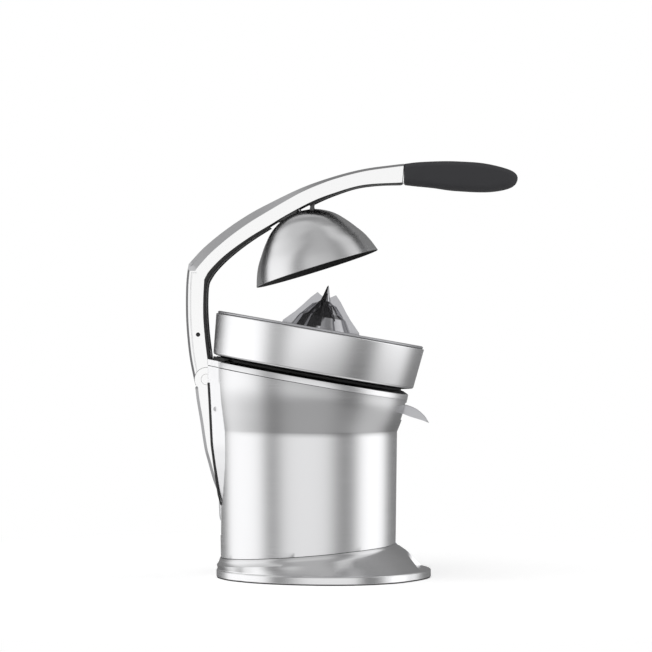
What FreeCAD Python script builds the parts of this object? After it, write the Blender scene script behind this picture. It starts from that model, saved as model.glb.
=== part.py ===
import FreeCAD, Part
import math
import os

V = FreeCAD.Vector

# Frame: millimetres, origin on the floor under the body's axis, +X to the spout and the handle,
# +Z up, +Y to the far side of the press (the photograph is taken from -Y).

# Body and base
BODY_R_FOOT = 84.6
BODY_R_TOP = 86.2
CREASE_Z = 140.5
WALL = 1.6
FLARE_W = 10.0
SEAM_R = BODY_R_TOP + FLARE_W
SEAM_BACK = -1.6
TILT = 10.0
FOOT_H = 1.4
FLANGE_Z = 8.4
SKIRT_Z = 26.2
SKIRT_SLOPE = 0.0785
SKIRT_BAND = 6.8
DRUM_FOOT = SKIRT_Z - SKIRT_SLOPE * BODY_R_TOP - 12.0
BASE_REACH = [(180.0, 4.1), (164.3, 4.3), (144.5, 4.6), (125.5, 5.0), (105.1, 7.6), (81.9, 14.4),
              (61.2, 23.3), (42.1, 28.7), (25.9, 29.9), (12.3, 32.7), (0.0, 34.3)]
RECESS_R = 46.0
RECESS_OUT = 14.1
RECESS_X = BODY_R_FOOT + BASE_REACH[-1][1] + RECESS_OUT
COWL_T = 4.2
SCREW_RING = BODY_R_FOOT - 2.0
PLATE_Z = 3.6
SLOT_FOOT_Z = 42.0

# Bowl, strainer and reamer, in the tilted frame whose origin is the bowl's rim centre
RIM_X, RIM_Z = 11.74, 237.9
RIM_R = 102.2
BOWL_DRAFT = 3.8
BOWL_FOOT_R = RIM_R - BOWL_DRAFT
BOWL_H = 36.3
BEVEL_W, BEVEL_DROP = 10.2, 5.3
BEVEL_R, BEVEL_H = BOWL_FOOT_R - BEVEL_W, BOWL_H + BEVEL_DROP
BOWL_T = 1.5
BOWL_GAP = 0.6
SHOULDER_H = -BEVEL_H - BOWL_GAP
SHOULDER_DROP = 3.4
RING_H = SHOULDER_H - SHOULDER_DROP
RING_BAND = 5.5
SEAM_H = RING_H - RING_BAND
RING_W = 9.2
DECK_R = SEAM_R - RING_W
DECK_T = 3.4
BEARING_H = 12.0
DRIVE_H = -BEVEL_H - DECK_T - BEARING_H
STRAINER_FLOOR = -18.0
STRAINER_T = 1.2
SPIKE_H = 45.1
SHAFT_R = 5.0
RUN = 0.05
GAP = 0.35
DRAIN_R = 7.0
DRAIN_WALL = 1.8


def on_axis(h, r=0.0):
    """World x and z of a point at height h and radius r in the tilted frame."""
    a = math.radians(TILT)
    return RIM_X + h * math.sin(a) + r * math.cos(a), RIM_Z + h * math.cos(a) - r * math.sin(a)


# Lever: x of its rear parts is measured from BACK, just behind the bowl's foot
LEVER_GAP = 2.83
BACK = round(on_axis(-BOWL_H, -BOWL_FOOT_R)[0] - LEVER_GAP, 1)
G1 = (BACK + 28.1, 40.1)
A1 = (BACK - 3.2, 191.1)
G2 = (BACK + 6.8, 162.8)
A2 = (BACK - 6.3, 215.4)
FOLD = 37.0
REAR_RATIO = -0.346
FRONT_RATIO = -0.7168
ARM_W = 16.0
ARM_T = 3.2
CHEEK_T = 3.6
SLOT_GAP = 1.5
SLOT_W = ARM_W + SLOT_GAP
HEAD_R = 11.45
PIN_R = 3.0
LINK_PIN_R = 2.5

# Press dome
DOME_SEAT_X, DOME_SEAT_Z = -8.67, 354.45
DOME_TILT = -17.3
DOME_R, DOME_H = 61.6, 58.5
DOME_X = DOME_SEAT_X - DOME_H * math.sin(math.radians(DOME_TILT))
DOME_Z = DOME_SEAT_Z - DOME_H * math.cos(math.radians(DOME_TILT))
DOME_T = 1.2
LINER_T = 1.8

# Gear train, in the tilted frame
STAGE1 = (12, 48, 1.0)
STAGE2 = (14, 56, 1.25)
IDLER_AT = (26.0, -35.19)
MOTOR_R, MOTOR_L = 32.0, 62.0
MOTOR_SHAFT_R = 2.5
CASE_AT = (10.0, -13.0)
CASE_GAP = 1.4
CASE_T = 2.0
CASE_R = CASE_GAP + max(math.hypot(*CASE_AT) + (STAGE2[1] / 2 + 0.92) * STAGE2[2],
                        math.hypot(IDLER_AT[0] - CASE_AT[0], IDLER_AT[1] - CASE_AT[1])
                        + (STAGE1[1] / 2 + 0.92) * STAGE1[2])
COVER_T = 3.0
CASE_FLOOR = DRIVE_H - COVER_T - 31.0
MID_H, MID_T = DRIVE_H - 17.4, 2.8
DRAIN_AT = CASE_AT[0] + CASE_R + CASE_T + DRAIN_R + 3.0

# Cord inlet
GLAND_R = 6.9
GLAND_Z = 45.0
GLAND_RISE = (GLAND_Z - DRUM_FOOT) / (CREASE_Z - DRUM_FOOT)
GLAND_AT = BODY_R_FOOT + (BODY_R_TOP - BODY_R_FOOT) * GLAND_RISE - 9.05
GLAND_AXIS = V(-0.866025, 0.5, 0)
CORD_R = 3.7

# Spout
SPOUT_AT = (BODY_R_TOP + 1.8, CREASE_Z + 20.0)
SPOUT_W = 12.0
SPOUT_T = 1.2

os.makedirs("parts", exist_ok=True)


def cyl(r, z0, z1, x=0.0, y=0.0):
    return Part.makeCylinder(r, z1 - z0, V(x, y, z0), V(0, 0, 1))


def tube(ro, ri, z0, z1, x=0.0, y=0.0):
    return cyl(ro, z0, z1, x, y).cut(cyl(ri, z0 - 1, z1 + 1, x, y))


def box(x0, x1, y0, y1, z0, z1):
    return Part.makeBox(x1 - x0, y1 - y0, z1 - z0, V(x0, y0, z0))


def bar(r, x, z, y0, y1):
    return Part.makeCylinder(r, y1 - y0, V(x, y0, z), V(0, 1, 0))


def slab(points, y0, y1):
    pts = [V(x, y0, z) for x, z in points]
    face = Part.Face(Part.makePolygon(pts + [pts[0]]))
    return face.extrude(V(0, y1 - y0, 0))


def turned(profile):
    pts = [V(r, 0, z) for r, z in profile]
    face = Part.Face(Part.makePolygon(pts + [pts[0]]))
    return face.revolve(V(0, 0, 0), V(0, 0, 1), 360)


def fuse(shapes):
    out = shapes[0].multiFuse(shapes[1:]) if len(shapes) > 1 else shapes[0]
    return out.removeSplitter()


def cut(shape, tools):
    return shape.cut(tools)


def tilted(shape):
    out = shape.copy()
    out.rotate(V(0, 0, 0), V(0, 1, 0), TILT)
    out.translate(V(RIM_X, 0, RIM_Z))
    return out


def domed(shape):
    out = shape.copy()
    out.rotate(V(0, 0, 0), V(0, 1, 0), DOME_TILT)
    out.translate(V(DOME_X, 0, DOME_Z))
    return out


def aft(points):
    """Points of the lever's rear parts, placed from BACK."""
    return [(BACK + x, z) for x, z in points]


def spline(points, closed=False):
    curve = Part.BSplineCurve()
    if closed:
        curve.interpolate(points, PeriodicFlag=True)
    else:
        curve.interpolate(points)
    return curve.toShape()


def circle_wire(cx, cz, r, tilt, y=0.0):
    a = math.radians(tilt)
    circle = Part.Circle(V(cx, y, cz), V(math.sin(a), 0, math.cos(a)), r)
    return Part.Wire(circle.toShape())


def hexagon(across, z0, z1):
    r = across / math.sqrt(3)
    pts = [V(r * math.cos(math.radians(60 * i)), r * math.sin(math.radians(60 * i)), z0)
           for i in range(6)]
    return Part.Face(Part.makePolygon(pts + [pts[0]])).extrude(V(0, 0, z1 - z0))


def save(name, shape):
    shape.exportStep("parts/" + name + ".step")
    return shape


# Body

def flare(inset):
    r = SEAM_R - inset
    ends = [((BODY_R_TOP, CREASE_Z), (-BODY_R_TOP, CREASE_Z)),
            ((BODY_R_TOP + 4.2, CREASE_Z + 10.5), (-BODY_R_TOP - 3.3, CREASE_Z + 20.0)),
            ((BODY_R_TOP + 7.8, CREASE_Z + 21.5), (-BODY_R_TOP - 6.4, CREASE_Z + 42.1))]
    wires = []
    for right, left in ends:
        cx, cz = (right[0] + left[0]) / 2, (right[1] + left[1]) / 2
        size = math.hypot(right[0] - left[0], right[1] - left[1]) / 2 - inset
        wires.append(circle_wire(cx, cz, size, math.degrees(math.atan2(left[1] - right[1],
                                                                       right[0] - left[0]))))
    seam_x, seam_z = on_axis(SEAM_CUT, SEAM_BACK)
    wires.append(circle_wire(seam_x, seam_z, r, TILT))
    return Part.makeLoft(wires, True, False)


def drum(inset):
    return Part.makeCone(BODY_R_FOOT - inset, BODY_R_TOP - inset, CREASE_Z - DRUM_FOOT, V(0, 0, DRUM_FOOT))


def spine_block():
    """Rows: height, rear face behind BACK, edge beyond the slot, outer line inside the body's radius."""
    rows = [(216.0, -2.7, 2.7, 2.7, 44.0), (188.0, -1.6, 2.7, 3.4, 44.6), (171.0, -0.6, 2.7, 4.2, 42.4),
            (141.0, 0.9, 2.7, 8.2, 38.0), (128.0, 1.6, 2.7, 8.4, 37.2), (108.0, 4.2, 2.5, 8.4, 36.0),
            (80.0, 8.3, 1.9, 6.8, 29.0), (70.0, 11.1, 1.5, 7.2, 25.0)]
    wires = []
    for z, rear, edge, inset, w1 in rows:
        xr, x1 = BACK + rear, inset - BODY_R_TOP
        half = [(xr, SLOT_W - 0.4), (xr + 1.9, SLOT_W + edge), (x1, w1), (22.2 - BODY_R_TOP, w1)]
        pts = [V(x, -y, z) for x, y in half] + [V(x, y, z) for x, y in reversed(half)]
        wires.append(Part.makePolygon(pts + [pts[0]]))
    return Part.makeLoft(wires, True, True)


def above_seam(h0, h1):
    return tilted(box(-140, 140, -140, 140, h0, h1))


def slot_box(front, gap=0.0):
    """The link slot, from behind the lever to front, mm inside the body's radius."""
    return box(BACK - 36, front - BODY_R_TOP, -SLOT_W - gap, SLOT_W + gap, SLOT_FOOT_Z, RIM_Z - 8)


def skirt_plane(x, drop=0.0):
    return SKIRT_Z - drop + SKIRT_SLOPE * x


SEAM_CUT = SEAM_H - 0.4
spine = spine_block()
collar_x, collar_z = on_axis(SEAM_CUT - 2, SEAM_BACK)
collar = Part.makeCylinder(SEAM_R, 30, V(collar_x, 0, collar_z),
                           V(math.sin(math.radians(TILT)), 0, math.cos(math.radians(TILT))))
junction = box(-200, 200, -200, 200, -100, 0)
junction.rotate(V(0, 0, 0), V(0, 1, 0), -math.degrees(math.atan(SKIRT_SLOPE)))
junction.translate(V(0, 0, SKIRT_Z))
spout_hole = box(SPOUT_AT[0] - 14, SPOUT_AT[0] + 22, -SPOUT_W - 2.4, SPOUT_W + 2.4,
                 SPOUT_AT[1] - 9, SPOUT_AT[1] + 11)
PIN_REACH = SLOT_W + 8.5
g2_hole = bar(LINK_PIN_R, G2[0], G2[1], -PIN_REACH, PIN_REACH)
gland_hole = Part.makeCylinder(GLAND_R, 40, GLAND_AXIS * (GLAND_AT - 16) + V(0, 0, GLAND_Z), GLAND_AXIS)
VENT_PITCH, VENT_W = 9.0, 4.0
vents = [box(VENT_PITCH * i - 8, VENT_PITCH * i - 8 + VENT_W, BODY_R_FOOT - 14.6, BODY_R_FOOT + 15.4, 50, 84)
         for i in range(-2, 4)]

flare_body = flare(0.0)
pad = spine.cut(drum(0.0)).cut(flare_body).cut(above_seam(SEAM_CUT, 60))
shell = drum(0.0).cut(drum(WALL)).multiFuse([flare_body.cut(flare(WALL)), pad])
shell = shell.cut(above_seam(SEAM_CUT, 60)).cut(junction)
shell = cut(shell, [slot_box(5.7), spout_hole, g2_hole, gland_hole] + vents)
save("body_shell", shell)

ring = fuse([collar, spine]).common(above_seam(SEAM_H, RING_H))
shoulder = tilted(turned([(DECK_R - 7, RING_H - 0.5), (SEAM_R - 1.0, RING_H - 0.5), (SEAM_R - 1.0, RING_H),
                          (DECK_R + 2.6, SHOULDER_H), (DECK_R - 7, SHOULDER_H)]))
lip = tilted(tube(SEAM_R - 3.2, SEAM_R - 6.2, SEAM_H - 3.5, SEAM_H + 0.5)).cut(spout_hole)
ring = fuse([ring, shoulder, lip])
ring = cut(ring, [tilted(cyl(DECK_R, SEAM_H - 20, 0)), slot_box(1.2)])
save("trim_ring", ring)

cap_back = BACK - 2.2
cap_half = Part.Face(Part.makePolygon([V(x, y, RING_H) for x, y in [
    (cap_back, SLOT_W + 0.4), (cap_back + 4.0, SLOT_W + 4.5), (-SEAM_R + 12.2, 40), (-SEAM_R + 20.2, 44),
    (-SEAM_R + 20.2, SLOT_W + 0.4), (cap_back, SLOT_W + 0.4)]]))
cap_half = cap_half.extrude(V(0, 0, 4.0)).cut(cyl(DECK_R + 2.7, RING_H - 15, RING_H + 15))
spine_caps = [tilted(cap_half), tilted(cap_half.mirror(V(0, 0, 0), V(0, 1, 0)))]
spine_caps = [s.cut(ring) for s in spine_caps]
save("spine_caps", Part.makeCompound(spine_caps))

DECK_UNDER = -BEVEL_H - DECK_T
DECK_SKIRT_T = 3.0
BEARING_R = 11.0
deck = turned([(0, -BEVEL_H), (DECK_R, -BEVEL_H), (DECK_R, DRIVE_H + 1.0), (DECK_R - DECK_SKIRT_T, DRIVE_H + 1.0),
               (DECK_R - DECK_SKIRT_T, DECK_UNDER), (0, DECK_UNDER)])
POST_RING = CASE_R - 4.0
posts = [cyl(4.5, DRIVE_H, DECK_UNDER + 0.5, CASE_AT[0] + POST_RING * math.cos(math.radians(a)),
             CASE_AT[1] + POST_RING * math.sin(math.radians(a))) for a in (75, 195, 315)]
deck = fuse([deck, cyl(BEARING_R + 4.0, DRIVE_H, DECK_UNDER + 0.5)] + posts)
deck = cut(deck, [cyl(BEARING_R, DRIVE_H - 1, DRIVE_H + 8.0), cyl(SHAFT_R + 1.5, DRIVE_H - 3, -BEVEL_H + 2),
                  cyl(DRAIN_R + DRAIN_WALL + 0.8, DRIVE_H - 3, -BEVEL_H + 2, DRAIN_AT)])
deck = tilted(deck)
deck = cut(deck, [slot_box(3.2, 0.6), spout_hole])
save("drive_deck", deck)

# Base

half_plan = [((BODY_R_FOOT + out) * math.cos(math.radians(a)), (BODY_R_FOOT + out) * math.sin(math.radians(a)))
             for a, out in BASE_REACH]
plan = [V(x, -y, 0) for x, y in half_plan] + [V(x, y, 0) for x, y in half_plan[-2:0:-1]]


def plan_wire(inset, z):
    pts = []
    for p in plan:
        k = 1 - inset / math.hypot(p.x - 12, p.y)
        pts.append(V(12 + (p.x - 12) * k, p.y * k, z))
    return Part.Wire(spline(pts, True))


def ringed(r, drop):
    pts = []
    for p in plan:
        a = math.atan2(p.y, p.x)
        x = r * math.cos(a)
        pts.append(V(x, r * math.sin(a), skirt_plane(x, drop)))
    return Part.Wire(spline(pts, True))


def cowl_solid(inset, top):
    shapes = []
    if inset == 0:
        shapes.append(Part.Face(plan_wire(0.0, 2.2)).extrude(V(0, 0, FLANGE_Z - 1.2 - 2.2)))
        shapes.append(Part.makeLoft([plan_wire(0.0, FLANGE_Z - 1.2), plan_wire(1.2, FLANGE_Z)],
                                    True, True))
    wires = [plan_wire(1.2 + inset, FLANGE_Z - inset * 2.2),
             ringed(BODY_R_FOOT + 4.3 - inset, SKIRT_BAND + inset),
             ringed(BODY_R_FOOT + 1.8 - inset, 0.6 + inset + top)]
    shapes.append(Part.makeLoft(wires, True, True))
    return fuse(shapes)


cowl = cowl_solid(0, 0)
hollow = cyl(BODY_R_FOOT - COWL_T, -5, 60)
recess = cyl(RECESS_R, FLANGE_Z - 0.01, 60, RECESS_X)
cowl = cut(cowl, [hollow, recess, Part.Face(plan_wire(3.5, 0)).extrude(V(0, 0, PLATE_Z)),
                  drum(-0.02).cut(cyl(BODY_R_FOOT - COWL_T - 0.1, 0, 200))])
screw_at = [(SCREW_RING * math.cos(math.radians(a)), SCREW_RING * math.sin(math.radians(a)))
            for a in (40, 140, 220, 320)]
cowl = fuse([cowl] + [cyl(4.5, PLATE_Z, 16.0, x, y) for x, y in screw_at])
cowl = cut(cowl, [cyl(1.6, 0, 14, x, y) for x, y in screw_at]
           + [drum(-0.02).cut(cyl(BODY_R_FOOT - 14.6, 0, 200))])
save("base_cowl", cowl)

plate = Part.Face(plan_wire(3.8, FOOT_H)).extrude(V(0, 0, PLATE_Z - FOOT_H))
plate = cut(plate, [cyl(1.9, 0, 10, x, y) for x, y in screw_at]
            + [cyl(3.4, 0, 2.4, x, y) for x, y in screw_at])
save("base_plate", plate)
feet_at = [(BODY_R_FOOT - 14.6, 52), (-BODY_R_FOOT + 32.6, 50), (-BODY_R_FOOT + 32.6, -50),
           (BODY_R_FOOT - 14.6, -52), (0, 0)]
save("rubber_feet", Part.makeCompound([cyl(9.0, 0, FOOT_H, x, y) for x, y in feet_at]))
save("base_screws", Part.makeCompound(
    [fuse([cyl(3.1, FOOT_H + 0.2, 2.4, x, y), cyl(1.5, 2.3, 12.5, x, y)]) for x, y in screw_at]))

# Link frame standing on the base plate, with the rear link's lower pivot

FRAME_T = 3.0
FRAME_IN, FRAME_OUT = SLOT_W + 0.3, SLOT_W + 0.3 + FRAME_T
FRAME_X = G1[0] + 13.2
FRAME_REAR = -BODY_R_FOOT + COWL_T + 3.6
frame = fuse([box(FRAME_REAR, FRAME_X + FRAME_T, s * (FRAME_IN + FRAME_T / 2) - FRAME_T / 2,
                  s * (FRAME_IN + FRAME_T / 2) + FRAME_T / 2, PLATE_Z, 66.0) for s in (-1, 1)]
             + [box(FRAME_X, FRAME_X + FRAME_T, -FRAME_OUT, FRAME_OUT, PLATE_Z, 120.0),
                box(FRAME_REAR, FRAME_X + 15.0, -FRAME_OUT, FRAME_OUT, PLATE_Z, PLATE_Z + 2.4)])
REAR_PIN_R = LINK_PIN_R + 0.5
frame = frame.cut(bar(REAR_PIN_R, G1[0], G1[1], -30, 30))
save("rear_link_pin", fuse([bar(REAR_PIN_R, G1[0], G1[1], -FRAME_OUT - 1.8, FRAME_OUT + 1.8)]
                           + [bar(5.0, G1[0], G1[1], s * (FRAME_OUT + 0.9) - 0.8, s * (FRAME_OUT + 0.9) + 0.8)
                              for s in (-1, 1)]))
save("front_link_pin", bar(LINK_PIN_R, G2[0], G2[1], -PIN_REACH, PIN_REACH))

SWITCH_X, SWITCH_Z = FRAME_X + FRAME_T, 106.0
switch = box(SWITCH_X, SWITCH_X + 10, -6, 6, SWITCH_Z - 10, SWITCH_Z + 10)
PUSH, SEATED = 1.5, 3.8
switch = switch.cut(box(SWITCH_X - 0.5, SWITCH_X + SEATED + PUSH + 0.3, -1.6, 1.6,
                        SWITCH_Z - 1.6, SWITCH_Z + 1.6))
save("start_switch", switch)
plunger = box(SWITCH_X - 22.0, SWITCH_X + SEATED, -1.5, 1.5, SWITCH_Z - 1.5, SWITCH_Z + 1.5)
save("switch_plunger", plunger)
frame_window = box(FRAME_X - 1, SWITCH_X + 1, -2, 2, SWITCH_Z - 2, SWITCH_Z + 2)
save("link_frame", frame.cut(frame_window))

# Rear link: two cheek plates joined by a rear web

rear_edge = aft([(-14.7, 183.4), (-13.2, 171.0), (-9.9, 151.6), (-5.8, 125.1), (-2.5, 112.3), (2.5, 94.5),
                 (6.1, 85.1), (8.0, 79.4), (8.6, 66.3), (10.1, 54.6), (20.3, 38.0)])
front_edge = aft([(35.9, 42.0), (27.8, 60.0), (18.3, 90.0), (10.3, 120.0), (2.9, 150.0), (1.9, 165.0),
                  (5.3, 183.4)])
edge_curve = spline([V(x, 0, z) for x, z in rear_edge])
front_curve = spline([V(x, 0, z) for x, z in front_edge])


def closed_profile(curves):
    edges = []
    for i, curve in enumerate(curves):
        edges.append(curve)
        a, b = curve.Vertexes[-1].Point, curves[(i + 1) % len(curves)].Vertexes[0].Point
        if a.distanceToPoint(b) > 1e-6:
            edges.append(Part.makeLine(a, b))
    return Part.Face(Part.Wire(edges))


def span(face, y0, y1):
    out = face.copy()
    out.translate(V(0, y0, 0))
    return out.extrude(V(0, y1 - y0, 0))


link_face = closed_profile([edge_curve, front_curve])
cheeks = []
CHEEK_IN = ARM_W - CHEEK_T
for y0, y1 in ((-ARM_W, -CHEEK_IN), (CHEEK_IN, ARM_W)):
    cheeks += [span(link_face, y0, y1), bar(HEAD_R, A1[0], A1[1], y0, y1),
               bar(8.2, G1[0], G1[1], y0, y1)]
inner_curve = spline([V(x + 3.0, 0, z) for x, z in reversed(rear_edge[1:-1])])
web_face = closed_profile([spline([V(x, 0, z) for x, z in rear_edge[1:-1]]), inner_curve])
web_w = CHEEK_IN + 0.6
rear_link = fuse(cheeks + [span(web_face, -web_w, web_w).common(
    box(BACK - 36, BACK + 34, -web_w, web_w, 56, 176))])
rear_link = cut(rear_link, [bar(PIN_R, A1[0], A1[1], -30, 30),
                            bar(REAR_PIN_R + RUN, G1[0], G1[1], -30, 30)])
save("rear_link", rear_link)
LUG_IN = 6.6
stubs = [bar(PIN_R, A1[0], A1[1], LUG_IN, ARM_W + 0.3), bar(PIN_R, A1[0], A1[1], -ARM_W - 0.3, -LUG_IN)]
save("arm_pivot_pins", Part.makeCompound(stubs))

# Front link with the open pivot's slotted eye


def turn(p, c, deg):
    a = math.radians(deg)
    dx, dz = p[0] - c[0], p[1] - c[1]
    return c[0] + dx * math.cos(a) + dz * math.sin(a), c[1] - dx * math.sin(a) + dz * math.cos(a)


eyes = []
for i in range(9):
    fold = FOLD * i / 8
    q = turn(turn(A2, A1, fold), G1, REAR_RATIO * fold)
    eyes.append(turn(q, G2, -FRONT_RATIO * fold))
LINK_W = LUG_IN - 1.6
front_link = fuse([bar(6.0, G2[0], G2[1], -LINK_W, LINK_W), bar(6.6, A2[0], A2[1], -LINK_W, LINK_W)]
                  + [slab([(G2[0] - 4.4, G2[1] - 1.1), (G2[0] + 4.4, G2[1] + 1.1),
                           (A2[0] + 4.4, A2[1] + 1.1), (A2[0] - 4.4, A2[1] - 1.1)], -LINK_W, LINK_W)])
front_link = cut(front_link, [bar(LINK_PIN_R + RUN, G2[0], G2[1], -9, 9)]
                 + [bar(LINK_PIN_R + 0.12, x, z, -9, 9) for x, z in eyes])
save("front_link", front_link)
ARM_PIN_REACH = ARM_W - 1.4
save("arm_link_pin", bar(LINK_PIN_R, A2[0], A2[1], -ARM_PIN_REACH, ARM_PIN_REACH))

# Lever arm: bevelled channel from the pivot to the grip

GRIP_X = 93.0
KNEE_BACK = 21.1
KNEE_AT = -115.4


def forward(points):
    """Points of the lever's top run, stretched between its knee behind BACK and the grip."""
    stretch = (GRIP_X - BACK + KNEE_BACK) / (GRIP_X - KNEE_AT)
    return [(GRIP_X - (GRIP_X - x) * stretch, z) for x, z in points]


OUT_V = aft([(-14.6, 185.3), (-16.1, 191.2), (-19.9, 209.8), (-22.2, 228.3), (-23.6, 246.9), (-24.0, 265.5),
             (-23.6, 284.0), (-22.2, 298.1), (-KNEE_BACK, 302.7)])
OUT_T = forward([(KNEE_AT, 302.7), (-100.6, 318.5), (-79.8, 335.5), (-57.5, 350.4), (-35.3, 362.3),
                 (-5.5, 376.4), (24.1, 386.7), (53.8, 394.2), (83.5, 398.2), (GRIP_X, 399.2)])
METAL_V = aft([(-1.3, 205.0), (-3.1, 216.3), (-5.0, 233.1), (-6.4, 251.5), (-6.4, 269.9)])
METAL_T = forward([(-99.8, 287.4), (-94.7, 296.2), (-79.8, 311.1), (-57.5, 327.4), (-35.3, 340.8),
                   (-20.6, 349.7), (3.3, 362.3), (24.1, 370.4), (53.8, 378.6), (91.5, 380.9)])
METAL_V.append(METAL_T[0])
LIP_V = aft([(0.9, 209.0), (0.6, 215.3), (-2.2, 237.7), (-3.6, 260.8), (-3.1, 279.4)])
LIP_T = forward([(-95.7, 285.9), (-88.8, 296.2), (-75.4, 309.6), (-57.5, 323.7), (-36.8, 337.1),
                 (-18.0, 348.2), (4.7, 360.2), (24.1, 369.0), (46.4, 376.4), (68.7, 379.4), (89.5, 379.9)])
LIP_V.append(LIP_T[0])
BEVEL = 4.3
LIP_GAP = 0.12


def curve_of(points, y=0.0):
    return spline([V(x, y, z) for x, z in points])


def inward(points, amount):
    out = []
    for i, (x, z) in enumerate(points):
        x0, z0 = points[max(i - 1, 0)]
        x1, z1 = points[min(i + 1, len(points) - 1)]
        n = math.hypot(x1 - x0, z1 - z0)
        out.append((x + (z1 - z0) / n * amount, z - (x1 - x0) / n * amount))
    return out


def joined(lower, upper, amount):
    a, b = inward(lower, amount), inward(upper, amount)
    corner = ((a[-1][0] + b[0][0]) / 2 + amount * 0.12, (a[-1][1] + b[0][1]) / 2 - amount * 0.04)
    return a[:-1] + [corner], [corner] + b[1:]


def arm_wire(amount, y):
    low, top = joined(OUT_V, OUT_T, amount) if amount else (OUT_V, OUT_T)
    low_c, top_c = curve_of(low, y), curve_of(top, y)
    back_t, back_v = curve_of(METAL_T[::-1], y), curve_of(METAL_V[::-1], y)
    edges = [low_c, top_c, Part.makeLine(V(top[-1][0], y, top[-1][1]), V(METAL_T[-1][0], y, METAL_T[-1][1])),
             back_t, back_v]
    knee = V(BACK - 2.7, y, 186.4)
    edges += [Part.makeLine(V(METAL_V[0][0], y, METAL_V[0][1]), knee),
              Part.makeLine(knee, V(low[0][0], y, low[0][1]))]
    return Part.Wire(edges)


core_w = CHEEK_IN
middle = span(Part.Face(arm_wire(0.0, 0.0)), -core_w, core_w)
sides = [Part.makeLoft([arm_wire(0.0, s * core_w), arm_wire(BEVEL, s * ARM_W)], True, True)
         for s in (-1, 1)]
arm = fuse([middle] + sides)
low_in, top_in = joined(OUT_V, OUT_T, ARM_T)
channel_end = GRIP_X - 7.0
hollow_end = curve_of(top_in[:-1] + [(channel_end, 395.4)])
under = [(channel_end, 372.0), (30.0, 362.0), (-30.0, 330.0)] + aft([(14.3, 296.0), (6.3, 270.0), (10.3, 180.0),
                                                                     (-11.7, 180.0)])
channel_edges = [curve_of(low_in), hollow_end]
last = V(channel_end, 0, 395.4)
for x, z in under + [low_in[0]]:
    channel_edges.append(Part.makeLine(last, V(x, 0, z)))
    last = V(x, 0, z)
channel = span(Part.Face(Part.Wire(channel_edges)), -(ARM_W - ARM_T), ARM_W - ARM_T)
arm = arm.cut(channel)
lug_profile = aft([(-11.3, 191.1), (-16.2, 209.0), (-18.9, 226.0), (-6.7, 226.0), (-4.2, 209.0), (-2.6, 203.0),
                   (3.3, 196.0), (4.8, 191.1)])
lugs = []
for y0, y1 in ((-ARM_W + ARM_T - 0.6, -LUG_IN), (LUG_IN, ARM_W - ARM_T + 0.6)):
    lugs += [slab(lug_profile, y0, y1), bar(8.0, A1[0], A1[1], y0, y1)]
SIDES = ((-ARM_W - 4, -CHEEK_IN + 0.2), (CHEEK_IN - 0.2, ARM_W + 4))
heads = [bar(HEAD_R + GAP, A1[0], A1[1], y0, y1) for y0, y1 in SIDES]
below = [box(BACK - 31, BACK + 14, y0, y1, 160, 185.3) for y0, y1 in SIDES]
arm = arm.cut(Part.makeCompound(heads + below))
arm = fuse([arm] + [lug.cut(Part.makeCompound(heads)) for lug in lugs])
SET_SCREW = (BACK - 11.4, 234.4)
SET_SCREW_R = 2.1
arm = cut(arm, [bar(PIN_R + RUN, A1[0], A1[1], -ARM_W - 4, ARM_W + 4),
                bar(LINK_PIN_R, A2[0], A2[1], -ARM_PIN_REACH, ARM_PIN_REACH),
                bar(SET_SCREW_R, SET_SCREW[0], SET_SCREW[1], -ARM_W - 4, -ARM_W + 1.6)])
TANG_L, TANG_W, TANG_GAP = 57.0, 6.0, 0.1
TANG_TOP, TANG_FOOT = (397.0, 399.0), (383.0, 386.0)


def tang_slab(gap):
    x0, x1 = GRIP_X - 5.0, GRIP_X + TANG_L + gap
    return slab([(x0, TANG_TOP[0] + gap), (x1, TANG_TOP[1] + gap), (x1, TANG_FOOT[1] - gap),
                 (x0, TANG_FOOT[0] - gap)], -TANG_W - gap, TANG_W + gap)


arm = arm.cut(box(GRIP_X, GRIP_X + 20, -ARM_W - 4, ARM_W + 4, 360, 420))
arm = fuse([arm, tang_slab(0.0)])
save("arm_set_screw", bar(SET_SCREW_R, SET_SCREW[0], SET_SCREW[1], -ARM_W + 0.4, -ARM_W + 1.6))


def strip(metal, lip, t0, t1, y0, y1):
    metal = inward(metal, LIP_GAP)
    edges = [curve_of(metal), Part.makeLine(V(metal[-1][0], 0, metal[-1][1]), V(lip[-1][0], 0, lip[-1][1])),
             curve_of(lip[::-1]), Part.makeLine(V(lip[0][0], 0, lip[0][1]), V(metal[0][0], 0, metal[0][1]))]
    whole = span(Part.Face(Part.Wire(edges)), y0, y1)
    return whole.common(box(t0, t1, -30, 30, 150, 420))


inserts = []
LIP_IN, LIP_OUT = ARM_W - 6.4, ARM_W - 0.4
for y0, y1 in ((-LIP_OUT, -LIP_IN), (LIP_IN, LIP_OUT)):
    low_strip = strip(METAL_V, LIP_V, BACK - 26, BACK + 14, y0, y1)
    top_strip = strip(METAL_T, LIP_T, BACK - 26, -36.0, y0, y1)
    inserts += [fuse([low_strip, top_strip]), strip(METAL_T, LIP_T, 1.0, 120, y0, y1)]
save("arm_insert", Part.makeCompound(inserts))

# Grip

GRIP = [(0.0, 399.2, 379.9, -0.4), (12.1, 400.7, 378.5, -0.2), (28.0, 401.5, 376.9, 0.2),
        (44.3, 401.7, 374.5, 0.6), (60.1, 401.0, 373.3, 0.8), (72.5, 400.1, 372.7, 0.8),
        (84.3, 398.2, 372.9, 0.4), (96.5, 395.2, 374.6, -0.8), (104.4, 392.4, 377.2, -3.0),
        (108.6, 389.3, 380.8, -7.0), (109.8, 386.6, 384.4, -11.6)]


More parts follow.
